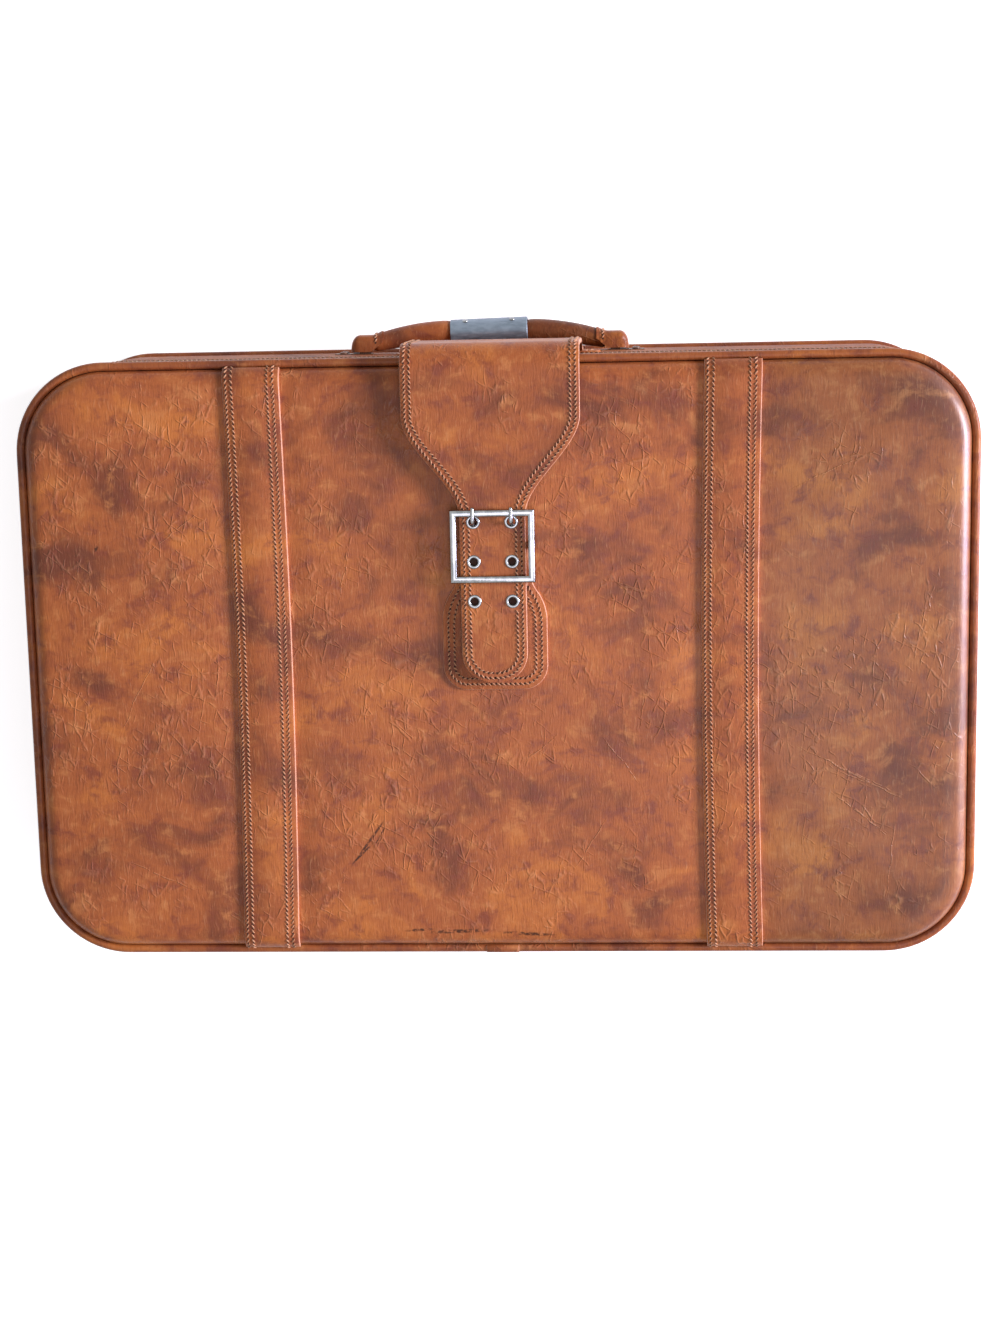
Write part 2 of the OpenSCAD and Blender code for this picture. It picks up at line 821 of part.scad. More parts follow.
// Points along a strap band from just above the piping, up the rolled edge and over the crown
strap_start = asin((cover_sink + run_gap) / edge_r);
function strap_points(off) = concat(
    [for (a = concat([strap_start], [for (b = edge_angles) if (b > strap_start + 1) b]))
        [wall_y - panel_in - edge_r + (edge_r + off) * cos(a), cover_z + (edge_r + off) * sin(a)]],
    [for (t = crown_steps)
        [wall_y - panel_in - edge_r - crown_run * t,
            cover_z + edge_r + crown_h * (1 - (1 - t) * (1 - t)) + off]]
);

module strap_band(x) {
    lower = strap_points(seat_gap);
    upper = strap_points(seat_gap + strap_t);
    n = len(lower);
    color(cognac)
        translate([x - strap_w / 2, 0, 0])
            rotate([90, 0, 90])
                linear_extrude(strap_w)
                    polygon(concat(
                        lower,
                        [for (i = [n - 1:-1:0]) [-lower[i][0], lower[i][1]]],
                        [for (p = upper) [-p[0], p[1]]],
                        [for (i = [n - 1:-1:0]) upper[i]]
                    ));
}

module left_strap() {
    strap_band(-strap_x);
}

module right_strap() {
    strap_band(strap_x);
}

// The tab's plan below the buckle bar, with a neck, shoulders and a round lower end
module tab_outline() {
    w = tab_w / 2;
    neck = tab_neck_w / 2;
    r = tab_corner_r;
    polygon([[-neck, 0], [-neck, -tab_neck_len], [-w, -tab_shoulder], [-w, -tab_len + r],
        [w, -tab_len + r], [w, -tab_shoulder], [neck, -tab_neck_len], [neck, 0]]);
    translate([-w + r, -tab_len])
        square([tab_w - 2 * r, r]);
    for (s = [-1, 1])
        translate([s * (w - r), -tab_len + r])
            circle(r);
}

module buckle_tab() {
    color(cognac)
        translate([0, bar_y, 0])
            difference() {
                union() {
                    translate([0, 0, tab_z])
                        linear_extrude(tab_t)
                            tab_outline();
                    translate([-tab_neck_w / 2, 0, bar_z])
                        rotate([0, 90, 0])
                            cylinder(h = tab_neck_w, r = fold_r);
                    translate([-tab_neck_w / 2, -fold_r, tab_z])
                        cube([tab_neck_w, fold_r, bar_z - tab_z]);
                }
                translate([-tab_w, 0, bar_z])
                    rotate([0, 90, 0])
                        cylinder(h = 2 * tab_w, r = bar_d / 2 + pin_gap);
                for (s = [-1, 1])
                    translate([s * prong_x - prong_notch, -barrel_r - run_gap, tab_z - cut])
                        cube([2 * prong_notch, 4 * barrel_r, 4 * barrel_r]);
            }
}

module buckle_bar() {
    color(nickel)
        translate([-buckle_w / 2, bar_y, bar_z])
            rotate([0, 90, 0])
                cylinder(h = buckle_w, d = bar_d);
}

// A rectangular frame of round rod, with a lug on each side that reaches down to the bar
module buckle_frame() {
    color(nickel)
        translate([0, bar_y, 0])
            difference() {
                union() {
                    for (s = [-1, 1]) {
                        translate([-rod_x, s * rod_y, frame_z])
                            rotate([0, 90, 0])
                                cylinder(h = 2 * rod_x, d = buckle_rod);
                        translate([s * rod_x, rod_y, frame_z])
                            rotate([90, 0, 0])
                                cylinder(h = 2 * rod_y, d = buckle_rod);
                        for (t = [-1, 1])
                            translate([s * rod_x, t * rod_y, frame_z])
                                sphere(d = buckle_rod);
                        translate([s * rod_x - buckle_rod / 4, -barrel_r, bar_z])
                            cube([buckle_rod / 2, barrel_d, frame_z - bar_z]);
                        translate([s * rod_x - buckle_rod / 4, 0, bar_z])
                            rotate([0, 90, 0])
                                cylinder(h = buckle_rod / 2, d = barrel_d);
                    }
                }
                translate([-buckle_w, 0, bar_z])
                    rotate([0, 90, 0])
                        cylinder(h = 2 * buckle_w, d = bar_d + 2 * pin_gap);
            }
}

// A bent round rod through points in the plane across the bar, mitred at each bend
module bent_rod(route, d) {
    sides = 10;
    last = len(route) - 1;
    swept([
        for (i = [0:last])
            let (
                before = i == 0 ? route[1] - route[0] : route[i] - route[i - 1],
                after = i == last ? before : route[i + 1] - route[i],
                along = before / norm(before) + after / norm(after),
                dir = along / norm(along),
                mitre = dir * before / norm(before)
            )
                [for (k = [0:sides - 1])
                    let (a = 360 * k / sides, u = d / 2 * sin(a) / mitre)
                        [d / 2 * cos(a), route[i][0] - u * dir[1], route[i][1] + u * dir[0]]]
    ]);
}

// A prong: a barrel on the bar, a run under the flap, up through its eyelet and over the top of the frame
module prong(x) {
    route = [
        [0, prong_under_z], [prong_reach, prong_under_z], [prong_reach, prong_knee_z],
        [rod_y, prong_over_z], [rod_y + buckle_rod, prong_over_z]
    ];
    color(nickel)
        translate([x, bar_y, 0])
            difference() {
                union() {
                    translate([-pull_eye_w / 2, 0, bar_z])
                        rotate([0, 90, 0])
                            cylinder(h = pull_eye_w, d = barrel_d);
                    bent_rod(route, prong_d);
                }
                translate([-pull_eye_w, 0, bar_z])
                    rotate([0, 90, 0])
                        cylinder(h = 2 * pull_eye_w, d = bar_d + 2 * pin_gap);
            }
}

module left_prong() {
    prong(-prong_x);
}

module right_prong() {
    prong(prong_x);
}

back_cover();
back_board();
back_piping();
body_gusset_cover();
body_gusset_board();
body_frame_wire();
body_lining();
body_zip_tape();
body_zip_teeth();
hinge_strip();
handle_brackets();
handle_rivets();
handle_backing_plates();
handle_core();
handle_grip();
handle_sleeve();
handle_sleeve_rivets();
flap_root_band();
flap();
flap_eyelets();
zip_slider_left();
zip_slider_right();
zip_pull_left();
zip_pull_right();
lid_board();
front_padding();
front_cover();
front_piping();
front_piping_joiner();
lid_gusset_cover();
lid_gusset_board();
lid_frame_wire();
lid_lining();
lid_zip_tape();
lid_zip_teeth();
left_strap();
right_strap();
buckle_tab();
buckle_bar();
buckle_frame();
left_prong();
right_prong();
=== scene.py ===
# %% [markdown]
# # A soft-sided suitcase
# The case lies on its back: +X to the right, +Y towards the handle, +Z out of the padded front. Its solids
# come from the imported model, and this script dresses them. Vinyl, thread and cloth are new pieces, and the
# hard parts either keep their solids with a better finish or get a finer piece in the same place.

# %% Load the frame
import math

import bmesh
import bpy
from mathutils import Matrix, Vector


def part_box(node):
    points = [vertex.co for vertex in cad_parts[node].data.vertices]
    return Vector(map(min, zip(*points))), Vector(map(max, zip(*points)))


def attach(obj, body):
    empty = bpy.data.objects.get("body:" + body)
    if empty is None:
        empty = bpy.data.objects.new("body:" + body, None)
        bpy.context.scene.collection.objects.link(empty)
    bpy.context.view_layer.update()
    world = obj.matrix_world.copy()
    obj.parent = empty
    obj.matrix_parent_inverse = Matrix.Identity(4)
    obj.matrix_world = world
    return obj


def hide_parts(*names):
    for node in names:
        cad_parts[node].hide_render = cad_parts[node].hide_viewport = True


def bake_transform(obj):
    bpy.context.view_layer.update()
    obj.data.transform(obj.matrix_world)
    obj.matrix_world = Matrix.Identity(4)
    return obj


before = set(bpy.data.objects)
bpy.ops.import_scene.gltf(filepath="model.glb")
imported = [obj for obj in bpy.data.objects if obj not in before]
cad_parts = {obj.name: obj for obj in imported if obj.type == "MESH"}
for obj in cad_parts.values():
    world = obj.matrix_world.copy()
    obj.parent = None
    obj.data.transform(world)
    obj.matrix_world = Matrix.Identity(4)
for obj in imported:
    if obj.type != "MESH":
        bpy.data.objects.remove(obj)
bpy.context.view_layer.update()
mm = 0.001

# %% [markdown]
# ## Camera
# The photograph looks down on the front from a little above the handle and to the right. The view could be
# set by eye, but here it was solved from the case's outline, so it is given as a target, a distance and
# three angles.

# %% Camera
photo_long_side = 1330
focal_pixels = 2250
look_at = Vector((-3.19, -17.68, 90)) * mm
distance = 1645 * mm
towards_handle = math.radians(9.968)
towards_right = math.radians(3.629)
roll = math.radians(-1.203)

from_target = Vector((
    math.sin(towards_right) * math.cos(towards_handle),
    math.sin(towards_handle),
    math.cos(towards_right) * math.cos(towards_handle),
))
side = (-from_target).cross(Vector((0, 1, 0))).normalized()
above = side.cross(-from_target)
view_right = side * math.cos(roll) + above * math.sin(roll)
view_up = above * math.cos(roll) - side * math.sin(roll)

scene = bpy.context.scene
camera_data = bpy.data.cameras.new("photo_camera")
camera_data.sensor_width = 36
camera_data.lens = camera_data.sensor_width * focal_pixels / photo_long_side
camera = bpy.data.objects.new("photo_camera", camera_data)
scene.collection.objects.link(camera)
camera.matrix_world = (
    Matrix.Translation(look_at + from_target * distance)
    @ Matrix((view_right, view_up, from_target)).transposed().to_4x4()
)
scene.camera = camera
print("camera: lens", round(camera_data.lens, 1), "mm at", [round(c, 3) for c in camera.location])

# %% [markdown]
# ## Colours and nodes
# Colours are written as sRGB hex values, as a picture program shows them, and Blender wants linear values.
# One function adds any node with its settings and links, so a material reads as a list of what it is made
# of.

# %% Colour and node helpers
def colour(code):
    """An sRGB hex value as linear red, green, blue and alpha."""
    parts = [int(code[i:i + 2], 16) / 255 for i in (1, 3, 5)]
    return [p / 12.92 if p <= 0.04045 else ((p + 0.055) / 1.055) ** 2.4 for p in parts] + [1]


def feed(node, sockets):
    """Gives each named socket of a node a value or a link, from a socket or from a node's first output."""
    for name, source in sockets.items():
        if isinstance(source, bpy.types.Node):
            source = source.outputs[0]
        if isinstance(source, bpy.types.NodeSocket):
            node.id_data.links.new(source, node.inputs[name])
        else:
            node.inputs[name].default_value = source


def add_node(tree, kind, sockets=None, **settings):
    """A shader node of that kind, with its settings made and its sockets fed."""
    node = tree.nodes.new("ShaderNode" + kind)
    for name, value in settings.items():
        setattr(node, name, value)
    feed(node, sockets or {})
    return node


def new_material(name, **constants):
    """A material, its node tree and its shader, with the shader's constant sockets set."""
    material = bpy.data.materials.new(name)
    material.use_nodes = True
    shader = material.node_tree.nodes["Principled BSDF"]
    feed(shader, {socket.replace("_", " "): value for socket, value in constants.items()})
    return material, material.node_tree, shader


# The sockets of a colour Mix node: its factor, its two colours and its result
MIX_FACTOR, MIX_A, MIX_B, MIX_OUT = 0, 6, 7, 2
print("colours: middle grey is", round(colour("#808080")[0], 3), "in linear light")

# %% [markdown]
# ## Floor and light
# The photograph is cut out on white. The floor is white paper that also glows a little, but only for the
# camera and in reflections, so it keeps a soft shadow and adds no light. A broad, distant window on the
# right lights the case from low down, and leaves a shadow on every left edge. A strip close to the right
# side draws the pale line on the right edge, and a soft panel above fills the rest.

# %% Floor
floor_half = 3.0
floor_glow = 0.70
scene.view_settings.view_transform = "Standard"


def seen_by_camera(tree):
    """1 for what the camera sees, straight, mirrored or through glass, and 0 for the light on the case."""
    rays = add_node(tree, "LightPath").outputs
    mirrored = add_node(tree, "Math", {
        0: rays["Is Glossy Ray"], 1: rays["Is Transmission Ray"]}, operation="MAXIMUM")
    return add_node(tree, "Math", {0: rays["Is Camera Ray"], 1: mirrored}, operation="MAXIMUM")


paper, tree, shader = new_material(
    "white_paper", Base_Color=colour("#f4f4f4"), Roughness=0.9, Emission_Color=colour("#ffffff"))
glow = add_node(tree, "Math", {0: seen_by_camera(tree), 1: floor_glow}, operation="MULTIPLY")
feed(shader, {"Emission Strength": glow})

shape = bmesh.new()
bmesh.ops.create_grid(shape, x_segments=1, y_segments=1, size=floor_half)
floor = bpy.data.objects.new("floor", bpy.data.meshes.new("floor"))
shape.to_mesh(floor.data)
shape.free()
floor.data.materials.append(paper)
scene.collection.objects.link(floor)
print("floor:", 2 * floor_half, "m square")

# %% Light
world_level = 0.22
scene.world = bpy.data.worlds.new("studio")
scene.world.use_nodes = True
tree = scene.world.node_tree
level = add_node(tree, "MapRange", {"Value": seen_by_camera(tree), "To Min": world_level, "To Max": 1.0})
feed(tree.nodes["Background"], {"Strength": level, "Color": colour("#ffffff")})

# Each lamp's place, the point that it faces, its width and height, all in metres, its watts and its tint
lamps = {
    "window": ((13, 1.8, 5.2), (0, 0, 0.17), (4.7, 4.7), 3650, "#f4f0ff"),
    "ceiling": ((0.3, -0.35, 2.3), (0.1, 0, 0.17), (1.0, 1.3), 13, "#f4eeff"),
    "sill": ((1.6, 0, 0.30), (0.3, 0, 0.17), (0.16, 0.9), 12, "#ddd2ff"),
}
for name, (place, aim, size, watts, tint) in lamps.items():
    data = bpy.data.lights.new(name, "AREA")
    data.shape = "RECTANGLE"
    data.size, data.size_y = size
    data.energy = watts
    data.color = colour(tint)[:3]
    lamp = bpy.data.objects.new(name, data)
    scene.collection.objects.link(lamp)
    lamp.location = place
    lamp.rotation_euler = (Vector(aim) - Vector(place)).to_track_quat("-Z", "Y").to_euler()
    print("lamp:", name, watts, "W")

# %% [markdown]
# ## Cognac vinyl
# The skin is embossed vinyl, printed in clouds of brown, plum and orange to look like waxed hide. It could
# be painted as one picture, but layers of noise carry on round every edge. Broad clouds, small mottling and
# a fine upright brushing give its colour, and nets of pale wrinkles gather in patches. The wrinkles and the
# brushing also make the bump. The real brushing is finer, and is drawn as coarse as it needs to show.

# %% Patterns of the vinyl
# How far the brushing and the wrinkles sway to the side, and how long one sway is, in mm
sway_shift, sway_length = 2.4, 15
# Whether it sways, its grain in mm on x, y and z, its detail, roughness and distortion, and for a pattern
# that is a mask the noise's values where it starts and where it is full
vinyl_noises = {
    "clouds": (False, (62, 50, 62), 5.0, 0.58, 0.5, None),
    "mottle": (False, (17, 14, 17), 5.0, 0.62, 0.4, None),
    "brushing": (True, (1.1, 11, 1.6), 3.0, 0.6, 0.0, None),
    "patches": (False, (44, 56, 50), 2.0, 0.5, 0.0, (0.44, 0.62)),
    "breaks": (False, (6, 9, 6), 2.0, 0.5, 0.0, (0.42, 0.60)),
    "scuff_edge": (False, (3, 3, 3), 3.0, 0.5, 0.0, (0.36, 0.56)),
    "crease_edge": (True, (3, 3, 3), 3.0, 0.5, 0.0, (0.36, 0.56)),
}
# Size of a wrinkle net's cells in mm, its slope in degrees, and the width of its lines as a share of a cell
wrinkle_nets = {"upright": ((8, 30, 12), -8, 0.08), "slanted": ((34, 11, 14), -34, 0.06)}


def vinyl_patterns(tree, flat):
    """The vinyl's patterns by name, and the swaying coordinates that some of them follow."""
    sways = add_node(tree, "Mapping", {
        "Vector": flat, "Scale": [sway_length * mm] * 3}, vector_type="TEXTURE")
    push = add_node(tree, "TexNoise", {"Vector": sways, "Scale": 1.0, "Detail": 2.0}).outputs["Color"]
    centred = add_node(tree, "VectorMath", {0: push, 1: (0.5, 0.5, 0.5)}, operation="SUBTRACT")
    swaying = add_node(tree, "VectorMath", {
        0: centred, 1: [2 * sway_shift * mm] * 3, 2: flat}, operation="MULTIPLY_ADD")
    patterns = {}
    for name, (sway, grain, detail, rough, distortion, mask) in vinyl_noises.items():
        place = add_node(tree, "Mapping", {
            "Vector": swaying if sway else flat, "Scale": [g * mm for g in grain]}, vector_type="TEXTURE")
        patterns[name] = add_node(tree, "TexNoise", {
            "Vector": place, "Scale": 1.0, "Detail": detail, "Roughness": rough, "Distortion": distortion})
        if mask:
            patterns[name] = add_node(tree, "MapRange", {
                "Value": patterns[name], "From Min": mask[0], "From Max": mask[1],
            }, interpolation_type="SMOOTHSTEP")
    for name, (cell, slope, width) in wrinkle_nets.items():
        place = add_node(tree, "Mapping", {
            "Vector": swaying, "Rotation": (0, 0, math.radians(slope)), "Scale": [c * mm for c in cell],
        }, vector_type="TEXTURE")
        border = add_node(tree, "TexVoronoi", {"Vector": place, "Scale": 1.0}, feature="DISTANCE_TO_EDGE")
        patterns[name] = add_node(tree, "MapRange", {
            "Value": border, "From Min": width, "From Max": 0.0}, interpolation_type="SMOOTHSTEP")
    return patterns, swaying


print("patterns:", len(vinyl_noises), "noises and", len(wrinkle_nets), "nets of wrinkles")

# %% Worn lines
# Worn lines on the front: x and y of the middle in mm, slope in degrees, length and width in mm
dark_scuffs = [
    (-91, -125, 54, 52, 2.6), (-97, -135, 45, 30, 2.2), (-84, -122, 60, 22, 1.4), (-30, -192, 2, 60, 4.0),
    (18, -194, -3, 52, 3.6), (-58, -191, 4, 26, 3.2), (-275, 83, 60, 6, 3.4),
]
pale_creases = [
    (243, -78, -27, 96, 1.5), (247, -81, -29, 84, 1.1), (252, -85, -26, 70, 1.0), (250, -108, -38, 64, 1.3),
    (255, -112, -42, 52, 1.0), (271, -140, 84, 70, 1.2), (232, -40, 74, 40, 1.0), (-250, -20, 62, 70, 1.0),
    (-222, 92, 38, 60, 1.0), (64, -128, 58, 52, 1.1), (86, -70, -52, 48, 1.0), (230, 130, 24, 80, 1.1),
    (-104, 60, 78, 56, 1.0), (-240, -150, -24, 64, 1.0), (30, -60, 40, 40, 1.0),
]
through_all = 1000


def worn_line(tree, coords, edge, x, y, slope, length, width):
    """How much of the vinyl a straight worn line covers. The pattern edge makes its sides ragged."""
    local = add_node(tree, "Mapping", {
        "Vector": coords, "Location": (x * mm, y * mm, 0), "Rotation": (0, 0, math.radians(slope)),
        "Scale": (length * mm / 2, width * mm / 2, through_all)}, vector_type="TEXTURE")
    far = add_node(tree, "VectorMath", {0: local}, operation="LENGTH").outputs["Value"]
    line = add_node(tree, "MapRange", {
        "Value": far, "From Min": 1.0, "From Max": 0.35}, interpolation_type="SMOOTHSTEP")
    return add_node(tree, "Math", {0: line, 1: edge}, operation="MULTIPLY")


print("worn lines:", len(dark_scuffs), "dark and", len(pale_creases), "pale")

# %% Cognac vinyl
# Colour, its pattern, the pattern's values where it starts and where it is full, and how much it then covers
vinyl_base = "#a95f35"
vinyl_layers = [
    ("#74402c", "clouds", 0.52, 0.30, 1.0), ("#c17339", "clouds", 0.52, 0.70, 1.0),
    ("#814230", "mottle", 0.51, 0.30, 0.8), ("#c9834d", "mottle", 0.53, 0.72, 0.6),
    ("#733b24", "brushing", 0.50, 0.25, 0.42), ("#d29a6c", "brushing", 0.55, 0.80, 0.38),
]
crease_colour, scuff_colour, painted_sheen_filter = "#cf9a72", "#2c1a14", "#dff0ff"
wrinkle_cover, crease_cover, scuff_cover = 0.14, 0.26, 0.85
# How far wrinkles and creases stand up, against the brushing, and how deep the embossing is
wrinkle_rise, crease_rise = 1.5, 1.8
emboss_depth = 0.35 * mm


def cognac_vinyl(name, pale=(), dark=(), shade=1.0, gloss=0.42, rubbed=None, painted_sheen_x=None):
    """Printed and embossed vinyl with pale creases and dark scuffs. It shines where the attribute rubbed is
    1, and a painted sheen, a cool filter on its colour, comes in between the two x values in its last
    argument."""
    material, tree, shader = new_material(name, Specular_IOR_Level=0.2, Coat_Roughness=0.38)
    flat = add_node(tree, "TexCoord").outputs["Object"]
    patterns, swaying = vinyl_patterns(tree, flat)
    wrinkles = add_node(tree, "Math", {0: patterns["upright"], 1: patterns["slanted"]}, operation="MAXIMUM")
    for mask in ("patches", "breaks"):
        wrinkles = add_node(tree, "Math", {0: wrinkles, 1: patterns[mask]}, operation="MULTIPLY")

    covers = []
    for code, pattern, starts, full, share in vinyl_layers:
        layer = add_node(tree, "MapRange", {
            "Value": patterns[pattern], "From Min": starts, "From Max": full,
        }, interpolation_type="SMOOTHSTEP")
        covers.append((code, layer, share, "MIX"))
    covers.append((crease_colour, wrinkles, wrinkle_cover, "MIX"))
    # A painted sheen: the colour is multiplied by a cool filter from the first x value onwards
    if painted_sheen_x:
        across = add_node(tree, "SeparateXYZ", {0: flat})
        painted_sheen = add_node(tree, "MapRange", {
            "Value": across, "From Min": painted_sheen_x[0], "From Max": painted_sheen_x[1]}, interpolation_type="SMOOTHSTEP")
        covers.append((painted_sheen_filter, painted_sheen, 1.0, "MULTIPLY"))
    relief = add_node(tree, "Math", {
        0: wrinkles, 1: wrinkle_rise, 2: patterns["brushing"]}, operation="MULTIPLY_ADD")
    for line in pale:
        crease = worn_line(tree, swaying, patterns["crease_edge"], *line)
        covers.append((crease_colour, crease, crease_cover, "MIX"))
        relief = add_node(tree, "Math", {0: crease, 1: crease_rise, 2: relief}, operation="MULTIPLY_ADD")
    for line in dark:
        scuff = worn_line(tree, flat, patterns["scuff_edge"], *line)
        covers.append((scuff_colour, scuff, scuff_cover, "MIX"))

    def shaded(code):
        return [c * shade for c in colour(code)[:3]] + [1]

    skin = shaded(vinyl_base)
    for code, cover, share, blend in covers:
        amount = add_node(tree, "Math", {0: cover, 1: share}, operation="MULTIPLY")
        skin = add_node(tree, "Mix", {MIX_FACTOR: amount, MIX_A: skin, MIX_B: shaded(code)},
                        data_type="RGBA", blend_type=blend).outputs[MIX_OUT]
    rough = add_node(tree, "MapRange", {
        "Value": patterns["mottle"], "From Min": 0.3, "From Max": 0.7,
        "To Min": gloss - 0.06, "To Max": gloss + 0.08})
    bump = add_node(tree, "Bump", {"Height": relief, "Strength": 0.62, "Distance": emboss_depth})
    feed(shader, {"Base Color": skin, "Roughness": rough, "Normal": bump})
    if rubbed:
        feed(shader, {"Coat Weight": add_node(tree, "Attribute", attribute_name=rubbed).outputs["Fac"]})
    return material


# A painted sheen: right of the right-hand strap a cool filter takes some of the orange out of the front
front_vinyl = cognac_vinyl("embossed_vinyl_front", pale_creases, dark_scuffs, gloss=0.33, rubbed="rim",
                           painted_sheen_x=(150 * mm, 215 * mm))
strip_vinyl = cognac_vinyl("embossed_vinyl_strips", shade=0.97)
grip_vinyl = cognac_vinyl("embossed_vinyl_darkened", shade=0.42)
wall_vinyl = cognac_vinyl("embossed_vinyl_walls", shade=0.80, gloss=0.58)
piping_vinyl = cognac_vinyl("piping_vinyl", shade=0.80, gloss=0.34)
print("vinyl: the front's has", len(front_vinyl.node_tree.nodes), "nodes")

# %% [markdown]
# ## Thread, metals and cloth
# Polyester thread is rounded and slightly glossy. The buckle is nickel-plated steel, polished and worn in
# fine lines. The sleeve on the handle is plain zinc-coated steel, which looks blue-grey and dull. The zip is
# brass on a woven tape, the stiffener is brown fibreboard, and the lining is a plain woven cotton.

# %% Thread, metals and cloth
def plain_finish(name, pale, deep, grain_mm, bump_mm, **constants):
    """Two close colours, mixed by a grain of that size on each axis that also lifts the surface."""
    material, tree, shader = new_material(name, **constants)
    flat = add_node(tree, "TexCoord").outputs["Object"]
    place = add_node(tree, "Mapping", {
        "Vector": flat, "Scale": [g * mm for g in grain_mm]}, vector_type="TEXTURE")
    grain = add_node(tree, "TexNoise", {"Vector": place, "Scale": 1.0, "Detail": 3.0, "Roughness": 0.6})
    share = add_node(tree, "MapRange", {
        "Value": grain, "From Min": 0.34, "From Max": 0.66}, interpolation_type="SMOOTHSTEP")
    tint = add_node(tree, "Mix", {
        MIX_FACTOR: share, MIX_A: colour(deep), MIX_B: colour(pale)}, data_type="RGBA")
    rough = constants["Roughness"]
    spread = add_node(tree, "MapRange", {
        "Value": grain, "From Min": 0.3, "From Max": 0.7, "To Min": rough * 0.8, "To Max": rough * 1.25})
    bump = add_node(tree, "Bump", {"Height": grain, "Strength": 0.5, "Distance": bump_mm * mm})
    feed(shader, {"Base Color": tint.outputs[MIX_OUT], "Roughness": spread, "Normal": bump})
    return material


def woven(name, pale, deep, thread_mm, bump_mm):
    """Plain weave: threads, thread_mm apart, that pass over and under each other."""
    material, tree, shader = new_material(name, Roughness=0.85)
    flat = add_node(tree, "TexCoord").outputs["Object"]
    rows = [add_node(tree, "TexWave", {
        "Vector": flat, "Scale": math.pi / (10 * thread_mm * mm), "Distortion": 0.3, "Detail": 1.0,
    }, bands_direction=axis).outputs["Fac"] for axis in "XYZ"]
    weave = rows[0]
    for crossing in rows[1:]:
        lifted = add_node(tree, "Math", {0: crossing, 1: 0.5}, operation="ADD")
        weave = add_node(tree, "Math", {0: weave, 1: lifted}, operation="MULTIPLY")
    tint = add_node(tree, "Mix", {
        MIX_FACTOR: weave, MIX_A: colour(deep), MIX_B: colour(pale)}, data_type="RGBA")
    bump = add_node(tree, "Bump", {"Height": weave, "Strength": 0.6, "Distance": bump_mm * mm})
    feed(shader, {"Base Color": tint.outputs[MIX_OUT], "Normal": bump})
    return material


thread = plain_finish("tan_polyester_thread", "#c08d67", "#9c6a49", (0.6, 0.6, 0.6), 0.1, Roughness=0.55)
needle_hole = plain_finish("needle_hole", "#4a2a1c", "#2e1810", (1, 1, 1), 0.05, Roughness=0.9)
cut_edge = plain_finish("cut_vinyl_edge", "#cf9a7c", "#b67d60", (3, 3, 1), 0.05, Roughness=0.5)
nickel = plain_finish("polished_nickel", "#a3a5a7", "#8a8d8f", (3, 9, 5), 0.01, Metallic=1.0, Roughness=0.17)
zinc = plain_finish("zinc_coated_steel", "#8794a0", "#75828e", (9, 3, 3), 0.02, Metallic=0.7, Roughness=0.45)
spring_steel = plain_finish(
    "spring_steel", "#8d8f92", "#6b6d70", (20, 1, 1), 0.02, Metallic=1.0, Roughness=0.35)
lacquer = plain_finish(
    "brown_lacquered_steel", "#6f4c38", "#4d3325", (6, 6, 6), 0.03, Metallic=0.4, Roughness=0.4)
brass = plain_finish("zip_brass", "#c2a25c", "#8c6d35", (2, 2, 2), 0.03, Metallic=1.0, Roughness=0.32)
fibreboard = plain_finish("brown_fibreboard", "#8a6d4c", "#5f4830", (6, 6, 3), 0.2, Roughness=0.9)
zip_tape = woven("woven_zip_tape", "#6d4a33", "#432a1b", 0.9, 0.12)
lining = woven("woven_cotton_lining", "#cdbb9e", "#a8947a", 1.4, 0.15)
print("finishes: thread, needle hole, cut edge, five metals, fibreboard and two weaves")

# %% Finishes of the solids that stay
kept_solids = {
    "back_board": fibreboard, "lid_board": fibreboard, "body_gusset_board": fibreboard,
    "lid_gusset_board": fibreboard, "body_frame_wire": spring_steel, "lid_frame_wire": spring_steel,
    "handle_core": spring_steel, "handle_backing_plates": spring_steel, "handle_brackets": lacquer,
    "handle_rivets": lacquer, "buckle_bar": nickel,
}
for node, finish in kept_solids.items():
    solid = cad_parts[node]
    solid.data.materials.clear()
    solid.data.materials.append(finish)
print("solids with a finish:", len(kept_solids))

# %% [markdown]
# ## Making a piece
# Each piece is modelled in a bmesh, at its own place in the case, and then becomes an object that rides on a
# body of the case. One function ends them all: it turns the normals outwards, gives the finishes, and says
# which solid the piece stands for. Most strips start as a flat sheet that is raised and softened along its
# rim, so that has a function too.

# %% Helpers for pieces
def finish_piece(name, bm, finishes, body, stands_for=(), crease=None):
    """The bmesh as a smooth object on that body, crisp where it bends by more than crease degrees. Without a
    body it is left unattached."""
    bmesh.ops.recalc_face_normals(bm, faces=bm.faces)
    mesh = bpy.data.meshes.new(name)
    bm.to_mesh(mesh)
    bm.free()
    for finish in finishes:
        mesh.materials.append(finish)
    mesh.polygons.foreach_set("use_smooth", [True] * len(mesh.polygons))
    if crease:
        mesh.set_sharp_from_angle(angle=math.radians(crease))
    piece = bpy.data.objects.new(name, mesh)
    scene.collection.objects.link(piece)
    if body:
        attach(piece, body)
    if stands_for:
        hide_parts(*stands_for)
    print(name, len(mesh.polygons), "faces")
    return piece


def bevel(bm, geom, offset, segments, affect="EDGES"):
    """A round bevel, with the settings that the editor starts from."""
    return bmesh.ops.bevel(
        bm, geom=geom, offset=offset, segments=segments, profile=0.5, affect=affect, material=-1)


def raise_sheet(bm, thick, soften=0.0, segments=3, both_rims=False, faces=None):
    """Raises flat faces to a thickness, softens the upper rim or both, and returns the raised vertices."""
    raised = bmesh.ops.extrude_face_region(bm, geom=faces or bm.faces[:])["geom"]
    top = {v for v in raised if isinstance(v, bmesh.types.BMVert)}
    bmesh.ops.translate(bm, verts=list(top), vec=(0, 0, thick))
    if soften:
        sharp = [e for e in bm.edges if e.is_manifold and e.calc_face_angle() > 1]
        bevel(bm, [e for e in sharp if both_rims or all(v in top for v in e.verts)], soften, segments)
    return top


